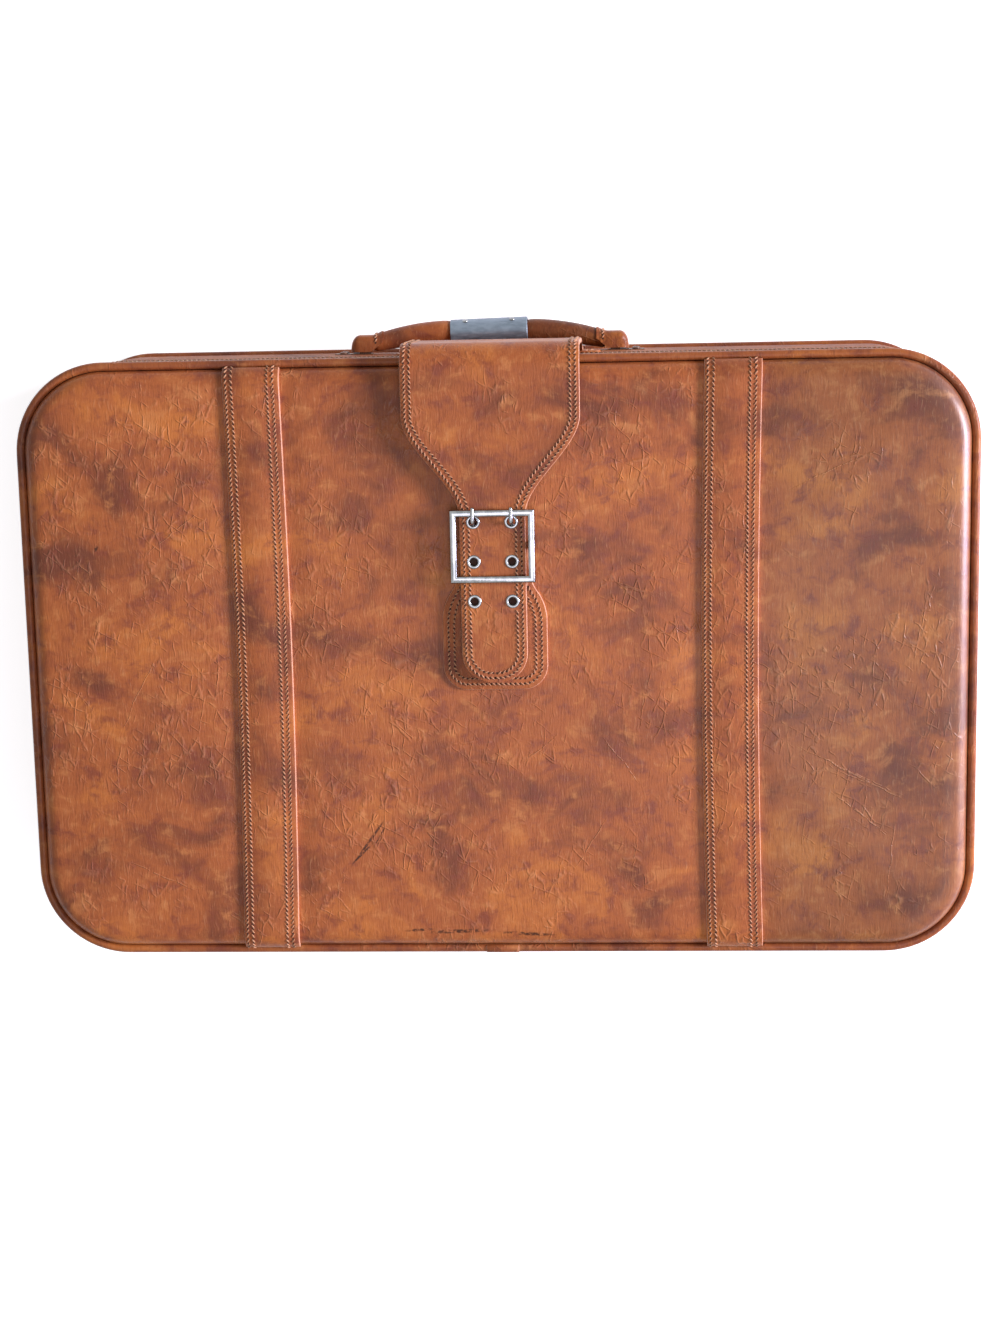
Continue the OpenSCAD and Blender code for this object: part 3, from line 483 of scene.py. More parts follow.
def cylinder(bm, segments, radius, depth, matrix, capped=True):
    """The vertices of a cylinder, made along z and moved by the matrix."""
    return bmesh.ops.create_cone(bm, cap_ends=capped, segments=segments, radius1=radius, radius2=radius,
                                 depth=depth, matrix=matrix)["verts"]


def ease(share):
    """A smooth step from 0 to 1."""
    share = min(max(share, 0), 1)
    return share * share * (3 - 2 * share)


# Turns of what is made along z, so that it runs along x or along y
along_x = Matrix.Rotation(math.pi / 2, 4, "Y")
along_y = Matrix.Rotation(math.pi / 2, 4, "X")

# %% [markdown]
# ## The padded front
# The front is vinyl over foam on a board, drawn down at its seam so that its edge rolls over in a quarter
# circle and the middle swells a little. It could be blown up by a cloth simulation, but the foam is firm and
# everything on the front has to lie on it, so a formula gives the surface and every later piece uses it too.
# A flat grid is drawn in at its corners to the panel's outline, and then each point is laid on that surface.

# %% The surface of the front
cover_low, cover_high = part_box("front_cover")
panel_x, panel_y, seam_z = cover_high.x, cover_high.y, cover_low.z
wall_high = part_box("lid_gusset_cover")[1]
wall_x, wall_y = wall_high.x, wall_high.y
wall_corner = 60 * mm
panel_corner = wall_corner - (wall_x - panel_x)
edge_roll = 11 * mm
crown_rise = cover_high.z - seam_z - edge_roll
crown_run = 100 * mm
quarter = edge_roll * math.pi / 2
strap_low, strap_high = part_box("right_strap")
strap_middle = (strap_low.x + strap_high.x) / 2
strap_half = (strap_high.x - strap_low.x) / 2
strap_bow = 3.2 * mm
# The band's ends lie this share of the bow outside the solid's straight middle line, and its middle inside it
bow_shift = 0.35
seam_dip, dip_run = 0.7 * mm, 9 * mm
# The flat cut is larger than the panel by what the rolled edge takes up
cut_x, cut_y, cut_corner = (size + quarter - edge_roll for size in (panel_x, panel_y, panel_corner))


def strap_centre(y, hand):
    """The middle of a strap band, which bows towards the middle of the case half-way along."""
    return hand * (strap_middle - strap_bow * (1 - (y / panel_y) ** 2) + strap_bow * bow_shift)


def seam_press(x, y):
    """How far the foam is pressed down beside the sewn strap bands."""
    beside = min(abs(abs(x - strap_centre(y, hand)) - strap_half) for hand in (-1, 1))
    return seam_dip * math.exp(-((beside / dip_run) ** 2))


def edge_distance(x, y):
    """How far a point lies inside the flat cut's edge, and the direction straight out of it."""
    over_x = abs(x) - (cut_x - cut_corner)
    over_y = abs(y) - (cut_y - cut_corner)
    if over_x > 0 and over_y > 0:
        reach = math.hypot(over_x, over_y)
        out = Vector((math.copysign(over_x / reach, x), math.copysign(over_y / reach, y), 0))
        return cut_corner - reach, out
    if cut_x - abs(x) < cut_y - abs(y):
        return cut_x - abs(x), Vector((math.copysign(1, x), 0, 0))
    return cut_y - abs(y), Vector((0, math.copysign(1, y), 0))


def lay_on_front(x, y, lift=0.0):
    """The point of the padded front above a point of the flat cut, lifted off the surface by lift."""
    from_seam, out = edge_distance(x, y)
    up = Vector((0, 0, 1))
    if from_seam < quarter:
        lean = from_seam / edge_roll
        moved = edge_roll * (1 - math.cos(lean)) - from_seam + quarter - edge_roll
        height = edge_roll * math.sin(lean)
        normal = out * math.cos(lean) + up * math.sin(lean)
    else:
        moved, height, normal = 0.0, edge_roll, up
    rise = min(max((from_seam - quarter) / crown_run, 0), 1)
    height += crown_rise * (1 - (1 - rise) ** 2) - seam_press(x, y) * min(from_seam / quarter, 1)
    return Vector((x, y, seam_z + height)) - out * moved + normal * lift


print("front: rises", round((edge_roll + crown_rise) / mm, 1), "mm above its seam")

# %% Front cover
# The rolled edge is rubbed shiny on the right, and the shine ends this many rolls from the seam
cell = 3.2 * mm
shine_reach, least_shine = 1.6, 0.1
straight_x, straight_y = cut_x - cut_corner, cut_y - cut_corner
bm = bmesh.new()
bmesh.ops.create_grid(bm, x_segments=round(2 * cut_x / cell), y_segments=round(2 * cut_y / cell), size=1)
rim = bm.verts.layers.float.new("rim")
for vert in bm.verts:
    x, y = vert.co.x * cut_x, vert.co.y * cut_y
    across = (abs(x) - straight_x) / cut_corner
    along = (abs(y) - straight_y) / cut_corner
    if across > 0 and along > 0:
        x = math.copysign(straight_x + cut_corner * across * math.sqrt(1 - along ** 2 / 2), x)
        y = math.copysign(straight_y + cut_corner * along * math.sqrt(1 - across ** 2 / 2), y)
    vert.co = lay_on_front(x, y)
    from_seam, out = edge_distance(x, y)
    vert[rim] = min(max(shine_reach - from_seam / quarter, least_shine), 1) * max(out.x, 0)
bmesh.ops.holes_fill(bm, edges=[e for e in bm.edges if e.is_boundary], sides=0)
front = finish_piece(
    "front_padded_cover", bm, [front_vinyl], "lid", ["front_cover", "front_padding"])

# %% [markdown]
# ## Sewing
# Every vinyl strip on the case is sewn down with two rows of heavy thread. A bump could draw the stitches,
# but they stand up from the vinyl and catch the light, so each one is a small slanted bead of thread between
# two needle holes. A row follows a path in the strip's flat plan, and a surface function lays it on the
# case.

# %% A stitch and its hole
stitch_pitch = 3.3 * mm
stitch_half = 1.9 * mm
stitch_thick = 0.58 * mm
# A bead stands out of the vinyl by its thickness and this share of it
stitch_rise = 0.35
stitch_slant = math.radians(36)
hole_size = 0.75 * mm
hole_lift = 0.06 * mm
# Finishes of a sewn strip after its vinyl, and their numbers
sewn = [thread, needle_hole, cut_edge]
THREAD, HOLE, EDGE = 1, 2, 3

pattern = bmesh.new()
bmesh.ops.create_uvsphere(pattern, u_segments=6, v_segments=5, radius=1)
bead_mesh = bpy.data.meshes.new("thread_bead")
pattern.to_mesh(bead_mesh)
pattern.clear()
bmesh.ops.create_circle(pattern, cap_ends=True, segments=6, radius=hole_size)
hole_mesh = bpy.data.meshes.new("needle_hole")
pattern.to_mesh(hole_mesh)
pattern.free()
print("stitch:", len(bead_mesh.polygons), "faces, one every", stitch_pitch / mm, "mm")

# %% Rows of stitches
def add_copy(bm, mesh, place, finish):
    """Puts a copy of a small mesh into bm, moved by the matrix place, and gives its faces that finish."""
    faces, verts = len(bm.faces), len(bm.verts)
    bm.from_mesh(mesh)
    bm.verts.ensure_lookup_table()
    bm.faces.ensure_lookup_table()
    bmesh.ops.transform(bm, matrix=place, verts=bm.verts[verts:])
    for face in bm.faces[faces:]:
        face.material_index = finish


def even_points(path, pitch):
    """Points at an even pitch along a path of 2-D points, each with the path's direction there."""
    points, spare = [], pitch / 2
    for start, end in zip(path, path[1:]):
        start, end = Vector(start), Vector(end)
        length = (end - start).length
        while length > 0 and spare <= length:
            points.append((start.lerp(end, spare / length), (end - start) / length))
            spare += pitch
        spare -= length
    return points


def sew(path, surface, slant, hidden):
    """A row of stitches along a path in a strip's plan, as a mesh. surface lays a plan point and a lift on
    the case, and hidden says where something covers the stitches."""
    row = bmesh.new()
    nudge = 0.3 * mm
    size = Matrix.Diagonal((stitch_half, stitch_thick, stitch_thick, 1))
    for (x, y), (run_x, run_y) in even_points(path, stitch_pitch):
        here = surface(x, y, 0)
        if hidden and hidden(here):
            continue
        ahead = (surface(x + run_x * nudge, y + run_y * nudge, 0) - here).normalized()
        normal = (surface(x, y, nudge) - here).normalized()
        run = ahead * math.cos(slant) + normal.cross(ahead) * math.sin(slant)
        turn = Matrix((run, normal.cross(run), normal)).transposed().to_4x4()
        bead = here + normal * stitch_thick * stitch_rise
        add_copy(row, bead_mesh, Matrix.Translation(bead) @ turn @ size, THREAD)
        hole = here + ahead * stitch_pitch / 2 + normal * hole_lift
        add_copy(row, hole_mesh, Matrix.Translation(hole) @ turn, HOLE)
    mesh = bpy.data.meshes.new("row_of_stitches")
    row.to_mesh(mesh)
    row.free()
    return mesh


def sew_rows(bm, paths, surface, hidden=None):
    """Adds rows of stitches along several paths, with the slant turned round in every other row."""
    for index, path in enumerate(paths):
        row = sew(path, surface, stitch_slant if index % 2 else -stitch_slant, hidden)
        bm.from_mesh(row)
        bpy.data.meshes.remove(row)


def mark_edges(bm, is_edge):
    """Gives the finish of a cut edge to the faces whose normal is_edge accepts."""
    for face in bm.faces:
        if is_edge(face.normal):
            face.material_index = EDGE


print("a row 100 mm long takes", len(even_points([(0, 0), (100 * mm, 0)], stitch_pitch)), "stitches")

# %% [markdown]
# ## Strap bands
# Two flat bands run over the front from seam to seam, as leather straps once did. Each is a strip of vinyl
# folded over a thin filler, so it is a little fuller in the middle and rounded at its edges. A flat bar is
# subdivided and bevelled in its own plan, and then laid on the front along the bowed line that the
# photograph shows.

# %% Strap bands
strap_thick = 2.5 * mm
strap_fullness = 0.5 * mm
# Share of the half width on which the filler lies
filler_share = 0.75
strap_round = 0.9 * mm
strap_reach = cut_y - 4.4 * mm
# Distance of the two rows of stitches from the left edge and from the right edge
rows_left = (2.4 * mm, 6.3 * mm)
rows_right = (4.3 * mm, 8.2 * mm)


def strap_band(name, hand, node):
    """One band, with its four rows of stitches."""
    bm = bmesh.new()
    bmesh.ops.create_grid(bm, x_segments=12, y_segments=130, size=1)
    bmesh.ops.transform(bm, matrix=Matrix.Diagonal((strap_half, strap_reach, 1, 1)), verts=bm.verts)
    raise_sheet(bm, strap_thick, strap_round)
    mark_edges(bm, lambda normal: abs(normal.x) > 0.3)

    def surface(x, y, lift):
        full = strap_fullness * max(0, 1 - (x / (strap_half * filler_share)) ** 2)
        base = lay_on_front(x + strap_centre(y, hand), y, lift)
        return base + Vector((0, 0, full * min(max(lift / strap_thick, 0), 1)))

    for vert in bm.verts:
        vert.co = surface(*vert.co)
    columns = [off - strap_half for off in rows_left] + [strap_half - off for off in rows_right]
    steps = [strap_reach * (i / 40 - 1) for i in range(81)]
    sew_rows(bm, [[(x, y) for y in steps] for x in columns],
             lambda x, y, lift: surface(x, y, strap_thick + lift))
    finish_piece(name, bm, [strip_vinyl, *sewn], "lid", [node], 50)


strap_band("left_strap_band", -1, "left_strap")
strap_band("right_strap_band", 1, "right_strap")

# %% [markdown]
# ## The flap
# The flap is sewn to the handle side, stands off the wall over the zip, turns over onto the front and
# narrows in a long curve to a strap with a round tip. It is two layers of vinyl, so it is thick and its cut
# edge is pale. A long grid is raised to its thickness in plan, its rows are drawn in to the flap's outline,
# and the whole is laid along the bend.

# %% The flap's path and outline
flap_low, flap_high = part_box("flap")
root_low, root_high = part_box("flap_root_band")
bar_low, bar_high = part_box("buckle_bar")
bar_y = (bar_low.y + bar_high.y) / 2
flap_thick = 2.6 * mm
flap_under = flap_high.z - flap_thick
flap_bend = 14 * mm
flap_stand_y = flap_high.y - flap_thick
flap_root_y = root_high.y + 0.1 * mm
rise_run = 26 * mm
flap_half_wide = flap_high.x
flap_half_strap = 22.5 * mm
narrow_from, narrow_to = bar_y + 88 * mm, bar_y + 20 * mm
tip_round = 20 * mm
wall_run = flap_under - flap_bend - flap_low.z
bend_run = flap_bend * math.pi / 2
bend_y, bend_z = flap_stand_y - flap_bend, flap_under - flap_bend
flap_length = wall_run + bend_run + bend_y - flap_low.y
# Powers that bring the points of a row of stitches, and the rows of the grid, closer towards the round tip
path_crowding, grid_crowding = 1.6, 1.3


def flap_place(x, along, lift=0.0):
    """The point of the flap that lies that far along it from its root, lifted off its under side."""
    if along < wall_run:
        z = flap_low.z + along
        y = flap_root_y + (flap_stand_y - flap_root_y) * ease((z - root_high.z) / rise_run)
        return Vector((x, y + lift, z))
    if along < wall_run + bend_run:
        turn = (along - wall_run) / flap_bend
        reach = flap_bend + lift
        return Vector((x, bend_y + reach * math.cos(turn), bend_z + reach * math.sin(turn)))
    return Vector((x, bend_y - (along - wall_run - bend_run), flap_under + lift))


def flap_half(along):
    """Half of the flap's width at that distance from its root."""
    to_tip = flap_length - along
    if to_tip < tip_round:
        return flap_half_strap - tip_round + math.sqrt(max(tip_round ** 2 - (tip_round - to_tip) ** 2, 0))
    y = bend_y - (along - wall_run - bend_run)
    return flap_half_strap + (flap_half_wide - flap_half_strap) * ease(
        (y - narrow_to) / (narrow_from - narrow_to))


def inside_flap_edge(off, hand):
    """A path that runs along one side of the flap, off inside its edge, from the root to the tip."""
    path, step, count = [], 0.5 * mm, 241
    for i in range(1, count):
        along = flap_length * (1 - (1 - i / count) ** path_crowding)
        slope = (flap_half(along + step) - flap_half(along - step)) / (2 * step)
        length = math.hypot(1, slope)
        path.append((hand * (flap_half(along) - off / length), along + off * slope / length))
    return path + [(0, flap_length - off)]


print("flap:", round(flap_length / mm), "mm long,", round(2 * flap_half_wide / mm), "mm wide at its root")

# %% The flap
flap_border = 6 * mm
edge_soft = 0.8 * mm
flap_rows = (2.9 * mm, 6.5 * mm)
eyelet_rim, eyelet_bore = 4.8 * mm, 2.7 * mm
prong_at = 13 * mm
eyelet_rows = [bar_y + 16.3 * mm - i * 27.2 * mm for i in range(3)]
eyelet_places = [Vector((x, y)) for y in eyelet_rows for x in (-prong_at, prong_at)]
eyelet_cut = (eyelet_rim + eyelet_bore) / 2 - 0.3 * mm
stitch_clear = eyelet_rim + 0.8 * mm


def from_eyelet(point):
    """How far a point of the flap lies from the middle of the nearest eyelet, in plan."""
    return min((point.xy - place).length for place in eyelet_places)


bm = bmesh.new()
bmesh.ops.create_grid(bm, x_segments=30, y_segments=170, size=1)
bmesh.ops.transform(bm, matrix=Matrix.Diagonal((flap_half_wide, 1, 1, 1)), verts=bm.verts)
raise_sheet(bm, flap_thick, edge_soft)
mark_edges(bm, lambda normal: abs(normal.x) > 0.3 or abs(normal.y) > 0.3)
for vert in bm.verts:
    x, share, lift = vert.co
    along = flap_length * (1 - (0.5 - share / 2) ** grid_crowding)
    half = flap_half(along)
    # The border keeps its width, and the rest of the row is drawn in
    border = min(flap_border, half / 2)
    from_edge = flap_half_wide - abs(x)
    if from_edge < flap_border:
        reach = half - from_edge * border / flap_border
    else:
        reach = abs(x) * (half - border) / (flap_half_wide - flap_border)
    vert.co = flap_place(math.copysign(reach, x), along, lift)
middles = {face: face.calc_center_median() for face in bm.faces}
punched = [f for f, at in middles.items() if at.z > flap_under - mm and from_eyelet(at) < eyelet_cut]
bmesh.ops.delete(bm, geom=punched, context="FACES")
sew_rows(bm, [inside_flap_edge(off, hand) for hand in (-1, 1) for off in flap_rows],
         lambda x, along, lift: flap_place(x, along, flap_thick + lift),
         lambda point: from_eyelet(point) < stitch_clear)
flap = finish_piece("buckled_flap", bm, [strip_vinyl, *sewn], None, ["flap"], 50)
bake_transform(flap)

# %% [markdown]
# ## The buckle tab
# Below the flap lies a wider tab, sewn to the front, whose neck folds over the buckle's bar and holds it. It
# has sloped shoulders and a round lower end. A few points give the outline, a vertex bevel rounds the
# corners, and the tab is raised and softened. Spin then bends three short loops over the bar, with gaps for
# the prongs.

# %% Buckle tab
tab_low, tab_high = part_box("buckle_tab")
tab_half = tab_high.x
tab_thick = 2.2 * mm
tab_base = cover_high.z + 0.1 * mm
neck_half = 24 * mm
shoulder_y, neck_y = bar_y - 42 * mm, bar_y - 24 * mm
end_round, shoulder_round = 17 * mm, 9 * mm
tab_rows = (4.0 * mm, 8.0 * mm)


def tab_plan(bm, inset):
    """The tab's plan as one face with rounded corners, inset all round."""
    half = [(neck_half - inset, bar_y), (neck_half - inset, neck_y),
            (tab_half - inset, shoulder_y - inset / 2), (tab_half - inset, tab_low.y + inset)]
    outline = half + [(-x, y) for x, y in reversed(half)]
    corners = list(bm.faces.new([bm.verts.new((x, y, 0)) for x, y in outline]).verts)
    bevel(bm, corners[3:5], end_round - inset, 8, "VERTICES")
    bevel(bm, corners[1:3] + corners[5:7], shoulder_round, 8, "VERTICES")


bm = bmesh.new()
tab_plan(bm, 0)
bmesh.ops.translate(bm, verts=bm.verts, vec=(0, 0, tab_base))
raise_sheet(bm, tab_thick, edge_soft)
mark_edges(bm, lambda normal: abs(normal.z) < 0.95)

fold_wall = 1.2 * mm
fold_angle = math.radians(300)
bar_z = (bar_low.z + bar_high.z) / 2
bar_radius = (bar_high.z - bar_low.z) / 2
bar_clear = 0.06 * mm
prong_gap = 3.4 * mm
for start, end in ((-neck_half, -prong_at - prong_gap), (prong_gap - prong_at, prong_at - prong_gap),
                   (prong_at + prong_gap, neck_half)):
    near = [bm.verts.new((start, bar_y - r, bar_z)) for r in (bar_radius + bar_clear, bar_radius + fold_wall)]
    far = [bm.verts.new(v.co + Vector((end - start, 0, 0))) for v in reversed(near)]
    fold = bm.faces.new(near + far)
    bmesh.ops.spin(bm, geom=[fold], cent=(0, bar_y, bar_z), axis=(1, 0, 0), angle=-fold_angle, steps=20)

edge_paths = []
for off in tab_rows:
    plan = bmesh.new()
    tab_plan(plan, off)
    ring = [corner.vert.co.xy for face in plan.faces for corner in face.loops]
    plan.free()
    first = max(range(len(ring)), key=lambda i: (ring[i].y, ring[i].x))
    edge_paths.append([point for point in ring[first:] + ring[:first] if point.y < neck_y])
sew_rows(bm, edge_paths, lambda x, y, lift: Vector((x, y, tab_base + tab_thick + lift)))
finish_piece("buckle_tab_vinyl", bm, [strip_vinyl, *sewn], "lid", ["buckle_tab"], 50)

# %% [markdown]
# ## The buckle
# The frame is a square of flat nickel bars with mitred corners and bevelled faces. A square is inset to
# leave a ring, raised, and bevelled along its top edges, which gives the mitres by itself. Two short lugs
# reach down to the bar.

# %% Buckle frame
frame_low, frame_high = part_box("buckle_frame")
frame_size = frame_high - frame_low
frame_bar = 4.8 * mm
frame_height = 3.0 * mm
frame_bevel = 1.9 * mm
frame_under = frame_high.z - frame_height
lug_thick = 2 * mm
lug_radius = 2.7 * mm
bm = bmesh.new()
bmesh.ops.create_grid(bm, x_segments=1, y_segments=1, size=0.5)
bmesh.ops.transform(bm, verts=bm.verts, matrix=Matrix.Translation((0, bar_y, frame_under)) @ Matrix.Diagonal(
    (frame_size.x, frame_size.y, 1, 1)))
opening = next(iter(bm.faces))
bmesh.ops.inset_individual(bm, faces=[opening], thickness=frame_bar, use_even_offset=True)
bmesh.ops.delete(bm, geom=[opening], context="FACES")
raise_sheet(bm, frame_height, frame_bevel, 5)
for hand in (-1, 1):
    lug_x = hand * (frame_high.x - frame_bar / 2)
    for vert in cylinder(bm, 24, lug_radius, lug_thick, Matrix.Translation((lug_x, bar_y, bar_z)) @ along_x):
        if vert.co.z > bar_z:
            vert.co.z += frame_under - bar_z
finish_piece("buckle_frame_nickel", bm, [nickel], "buckle", ["buckle_frame"], 35)

# %% [markdown]
# ## Prongs and eyelets
# Each prong is a round wire that wraps the bar, runs under the flap, comes up through an eyelet and lies
# over the top of the frame. A ring of points is carried along by spin: with an angle it turns a bend, and
# with an offset and no angle it runs straight. The eyelets are a rolled rim spun round their own axis.

# %% Rings and sweeps
prong_radius = 1.35 * mm
bend_radius = 2.2 * mm
quarter_turn = math.pi / 2


def only(kind, geom):
    """The elements of one kind, vertices or edges."""
    return [g for g in geom if isinstance(g, kind)]


def line(bm, points, closed=True):
    """The vertices and edges of a line through points, closed on itself or open."""
    verts = [bm.verts.new(point) for point in points]
    pairs = zip(verts, verts[1:] + verts[:1] if closed else verts[1:])
    return verts + [bm.edges.new(pair) for pair in pairs]


def wire_ring(bm, segments, radius, matrix):
    """The vertices and edges of a circle."""
    ring = bmesh.ops.create_circle(bm, segments=segments, radius=radius, matrix=matrix)["verts"]
    return ring + list({e for v in ring for e in v.link_edges})


def sweep(bm, geom, moves):
    """Carries the edges of a ring along straight runs and bends, and returns the ring at the end."""
    for kind, amount, *where in moves:
        if kind == "run":
            made = bmesh.ops.spin(bm, geom=geom, dvec=amount, axis=(0, 0, 1), angle=0, steps=1)
        else:
            centre, axis, steps = where
            made = bmesh.ops.spin(bm, geom=geom, cent=centre, axis=axis, angle=amount, steps=steps)
        geom = only((bmesh.types.BMVert, bmesh.types.BMEdge), made["geom_last"])
    return geom


def spin_round(bm, geom, centre, axis, steps):
    """Carries a section once round an axis and closes it on itself."""
    bmesh.ops.spin(bm, geom=geom, cent=centre, axis=axis, angle=2 * math.pi, steps=steps, use_merge=True)


print("prong: wire", 2 * prong_radius / mm, "mm thick, bent round", bend_radius / mm, "mm")

# %% Prongs
wrap_radius, wrap_width = 2.65 * mm, 3.4 * mm
wrap_overlap = 1 * mm
under_flap = 1.1 * mm
tip_steps = (0.5, 0.8, 0.97)
knee_y = eyelet_rows[0]
low_z = flap_under - under_flap - prong_radius

for node, x in (("left_prong", -prong_at), ("right_prong", prong_at)):
    prong_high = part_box(node)[1]
    high_z = prong_high.z - prong_radius
    tip_y = prong_high.y - prong_radius
    bm = bmesh.new()
    cylinder(bm, 24, wrap_radius, wrap_width, Matrix.Translation((x, bar_y, bar_z)) @ along_x)
    start_y = bar_y + wrap_overlap
    last = sweep(bm, wire_ring(bm, 12, prong_radius, Matrix.Translation((x, start_y, low_z)) @ along_y), [
        ("run", (0, knee_y - bend_radius - start_y, 0)),
        ("bend", quarter_turn, (x, knee_y - bend_radius, low_z + bend_radius), (1, 0, 0), 8),
        ("run", (0, 0, high_z - low_z - 2 * bend_radius)),
        ("bend", -quarter_turn, (x, knee_y + bend_radius, high_z - bend_radius), (1, 0, 0), 8),
        ("run", (0, tip_y - knee_y - bend_radius, 0)),
    ])
    for share in tip_steps:
        last = bmesh.ops.extrude_edge_only(bm, edges=only(bmesh.types.BMEdge, last))["geom"]
        tip = only(bmesh.types.BMVert, last)
        middle = sum((v.co for v in tip), Vector()) / len(tip)
        for vert in tip:
            outward = (vert.co - middle).normalized() * prong_radius * math.sqrt(1 - share ** 2)
            vert.co = Vector((x, tip_y + prong_radius * share, high_z)) + outward
    bmesh.ops.contextual_create(bm, geom=only(bmesh.types.BMEdge, last))
    finish_piece(node + "_wire", bm, [nickel], node, [node], 40)

# %% Eyelets
rim_middle, rim_roll = (eyelet_rim + eyelet_bore) / 2, (eyelet_rim - eyelet_bore) / 2
# Height of the rolled rim as a share of its width, above the flap and below it, and on the side in the vinyl
rise_above, rise_below, rise_within = 0.75, 0.4, 0.05
shadow_radius, shadow_z = eyelet_bore + 0.2 * mm, flap_under + 0.2 * mm
bm = bmesh.new()
for x, y in eyelet_places:
    for level, up, rise in ((flap_under + flap_thick, 1, rise_above), (flap_under, -1, rise_below)):
        ring = wire_ring(bm, 12, rim_roll, Matrix.Translation((x + rim_middle, y, level)) @ along_y)
        for vert in only(bmesh.types.BMVert, ring):
            outside = vert.co.z - level
            vert.co.z = level + outside * (rise if outside * up > 0 else rise_within)
        spin_round(bm, ring, (x, y, 0), (0, 0, 1), 28)
    if y < bar_y:
        # Only the upper eyelets have a prong in them, and the others get a dark disc of painted shade in the
        # bore
        shadow = bmesh.ops.create_circle(bm, cap_ends=True, segments=28, radius=shadow_radius,
                                         matrix=Matrix.Translation((x, y, shadow_z)))["verts"]
        for face in {f for v in shadow for f in v.link_faces}:
            face.material_index = 1
    cylinder(bm, 28, eyelet_bore, flap_thick, Matrix.Translation((x, y, flap_under + flap_thick / 2)), False)
finish_piece("flap_eyelet_rims", bm, [nickel, needle_hole], "flap", ["flap_eyelets"])

# %% [markdown]
# ## Walls and piping
# The walls are bands of vinyl over fibreboard, and a vinyl-covered cord is sewn into each seam. All of them
# go round the case at a constant section. The section is drawn once at the foot of the right wall, and spin
# carries it along the sides and round the corners until it closes on itself.

# %% Sections carried round the case
run_x, run_y = wall_x - wall_corner, wall_y - wall_corner
corner_steps = 20
turn_z = (0, 0, 1)
merge_under = 0.02 * mm


def section(bm, points, closed=True):
    """A section at the foot of the right wall, from pairs of inset from the wall's face and height."""
    return line(bm, [(wall_x - inset, -run_y, z) for inset, z in points], closed)


def round_the_case(bm, geom, first_corner=0.0):
    """Carries a section once round the case. With first_corner, in degrees, it leaves out the hinge side and
    that much of the corner at each end of it."""
    rest = quarter_turn - math.radians(first_corner)
    whole = first_corner == 0
    if not whole:
        bmesh.ops.rotate(bm, verts=only(bmesh.types.BMVert, geom), cent=(run_x, -run_y, 0),
                         matrix=Matrix.Rotation(-rest, 3, "Z"))
        geom = sweep(bm, geom, [("bend", rest, (run_x, -run_y, 0), turn_z, corner_steps)])
    moves = [
        ("run", (0, 2 * run_y, 0)), ("bend", quarter_turn, (run_x, run_y, 0), turn_z, corner_steps),
        ("run", (-2 * run_x, 0, 0)), ("bend", quarter_turn, (-run_x, run_y, 0), turn_z, corner_steps),
        ("run", (0, -2 * run_y, 0)), ("bend", rest, (-run_x, -run_y, 0), turn_z, corner_steps),
    ]
    if whole:
        moves += [
            ("run", (2 * run_x, 0, 0)), ("bend", quarter_turn, (run_x, -run_y, 0), turn_z, corner_steps)]
    sweep(bm, geom, moves)
    if whole:
        bmesh.ops.remove_doubles(bm, verts=bm.verts, dist=merge_under)
    else:
        bmesh.ops.holes_fill(bm, edges=[e for e in bm.edges if e.is_boundary], sides=0)


def wall_at(distance, inset=0.0):
    """A point on the wall, that far along it from the middle of the hinge side, anticlockwise, and the way
    out of the wall there."""
    sides = [
        (run_x, Vector((0, -wall_y)), Vector((1, 0))), (2 * run_y, Vector((wall_x, -run_y)), Vector((0, 1))),
        (2 * run_x, Vector((run_x, wall_y)), Vector((-1, 0))),
        (2 * run_y, Vector((-wall_x, run_y)), Vector((0, -1))),
        (run_x, Vector((-run_x, -wall_y)), Vector((1, 0))),
    ]
    for length, start, way in sides:
        out = Vector((way.y, -way.x))
        if distance <= length:
            return start + way * distance - out * inset, out
        distance -= length
        lean = distance / wall_corner
        if lean <= quarter_turn:
            centre = start + way * length - out * wall_corner
            now = out * math.cos(lean) + way * math.sin(lean)
            return centre + now * (wall_corner - inset), now
        distance -= wall_corner * quarter_turn
    return start, out


print("wall:", round((4 * (run_x + run_y) + 2 * math.pi * wall_corner) / mm), "mm round")

# %% Wall covers
# The zip stops this far round the corners at the hinge side
zip_stop_y = 12 * mm
zip_corner = math.degrees(math.asin(zip_stop_y / wall_corner))
zip_from = run_x + wall_corner * math.radians(zip_corner)
zip_to = 4 * (run_x + run_y) + 2 * math.pi * wall_corner - zip_from
vinyl_thick = 1.2 * mm
belly, belly_steps = 0.6 * mm, 8
turned_in = 0.5 * mm
row_from_zip, row_steps = 3.0 * mm, 600
# The row lies close to the edge, where the band has only this share of its belly
row_belly = 0.2


def wall_cover(name, node, body, zip_side):
    """A band of vinyl that bellies out a little and turns in at both edges, with a row of stitches along the
    zip, which is above it where zip_side is 1 and below it where it is -1."""
    low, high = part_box(node)
    outer = []
    for i in range(belly_steps + 1):
        inset = -belly * (1 - (2 * i / belly_steps - 1) ** 2) + (turned_in if i in (0, belly_steps) else 0)
        outer.append((inset, low.z + (high.z - low.z) * i / belly_steps))
    bm = bmesh.new()
    round_the_case(bm, section(bm, outer + [(vinyl_thick, high.z), (vinyl_thick, low.z)]))
    row_z = (high.z if zip_side > 0 else low.z) - zip_side * row_from_zip
    row = [(zip_from + (zip_to - zip_from) * i / row_steps, row_z) for i in range(row_steps + 1)]
    sew_rows(bm, [row], lambda far, z, lift: Vector((*wall_at(far, -lift - belly * row_belly)[0], z)))
    finish_piece(name, bm, [wall_vinyl, *sewn], body, [node], 60)


wall_cover("rear_wall_vinyl", "body_gusset_cover", "case_body", 1)
wall_cover("front_wall_vinyl", "lid_gusset_cover", "lid", -1)

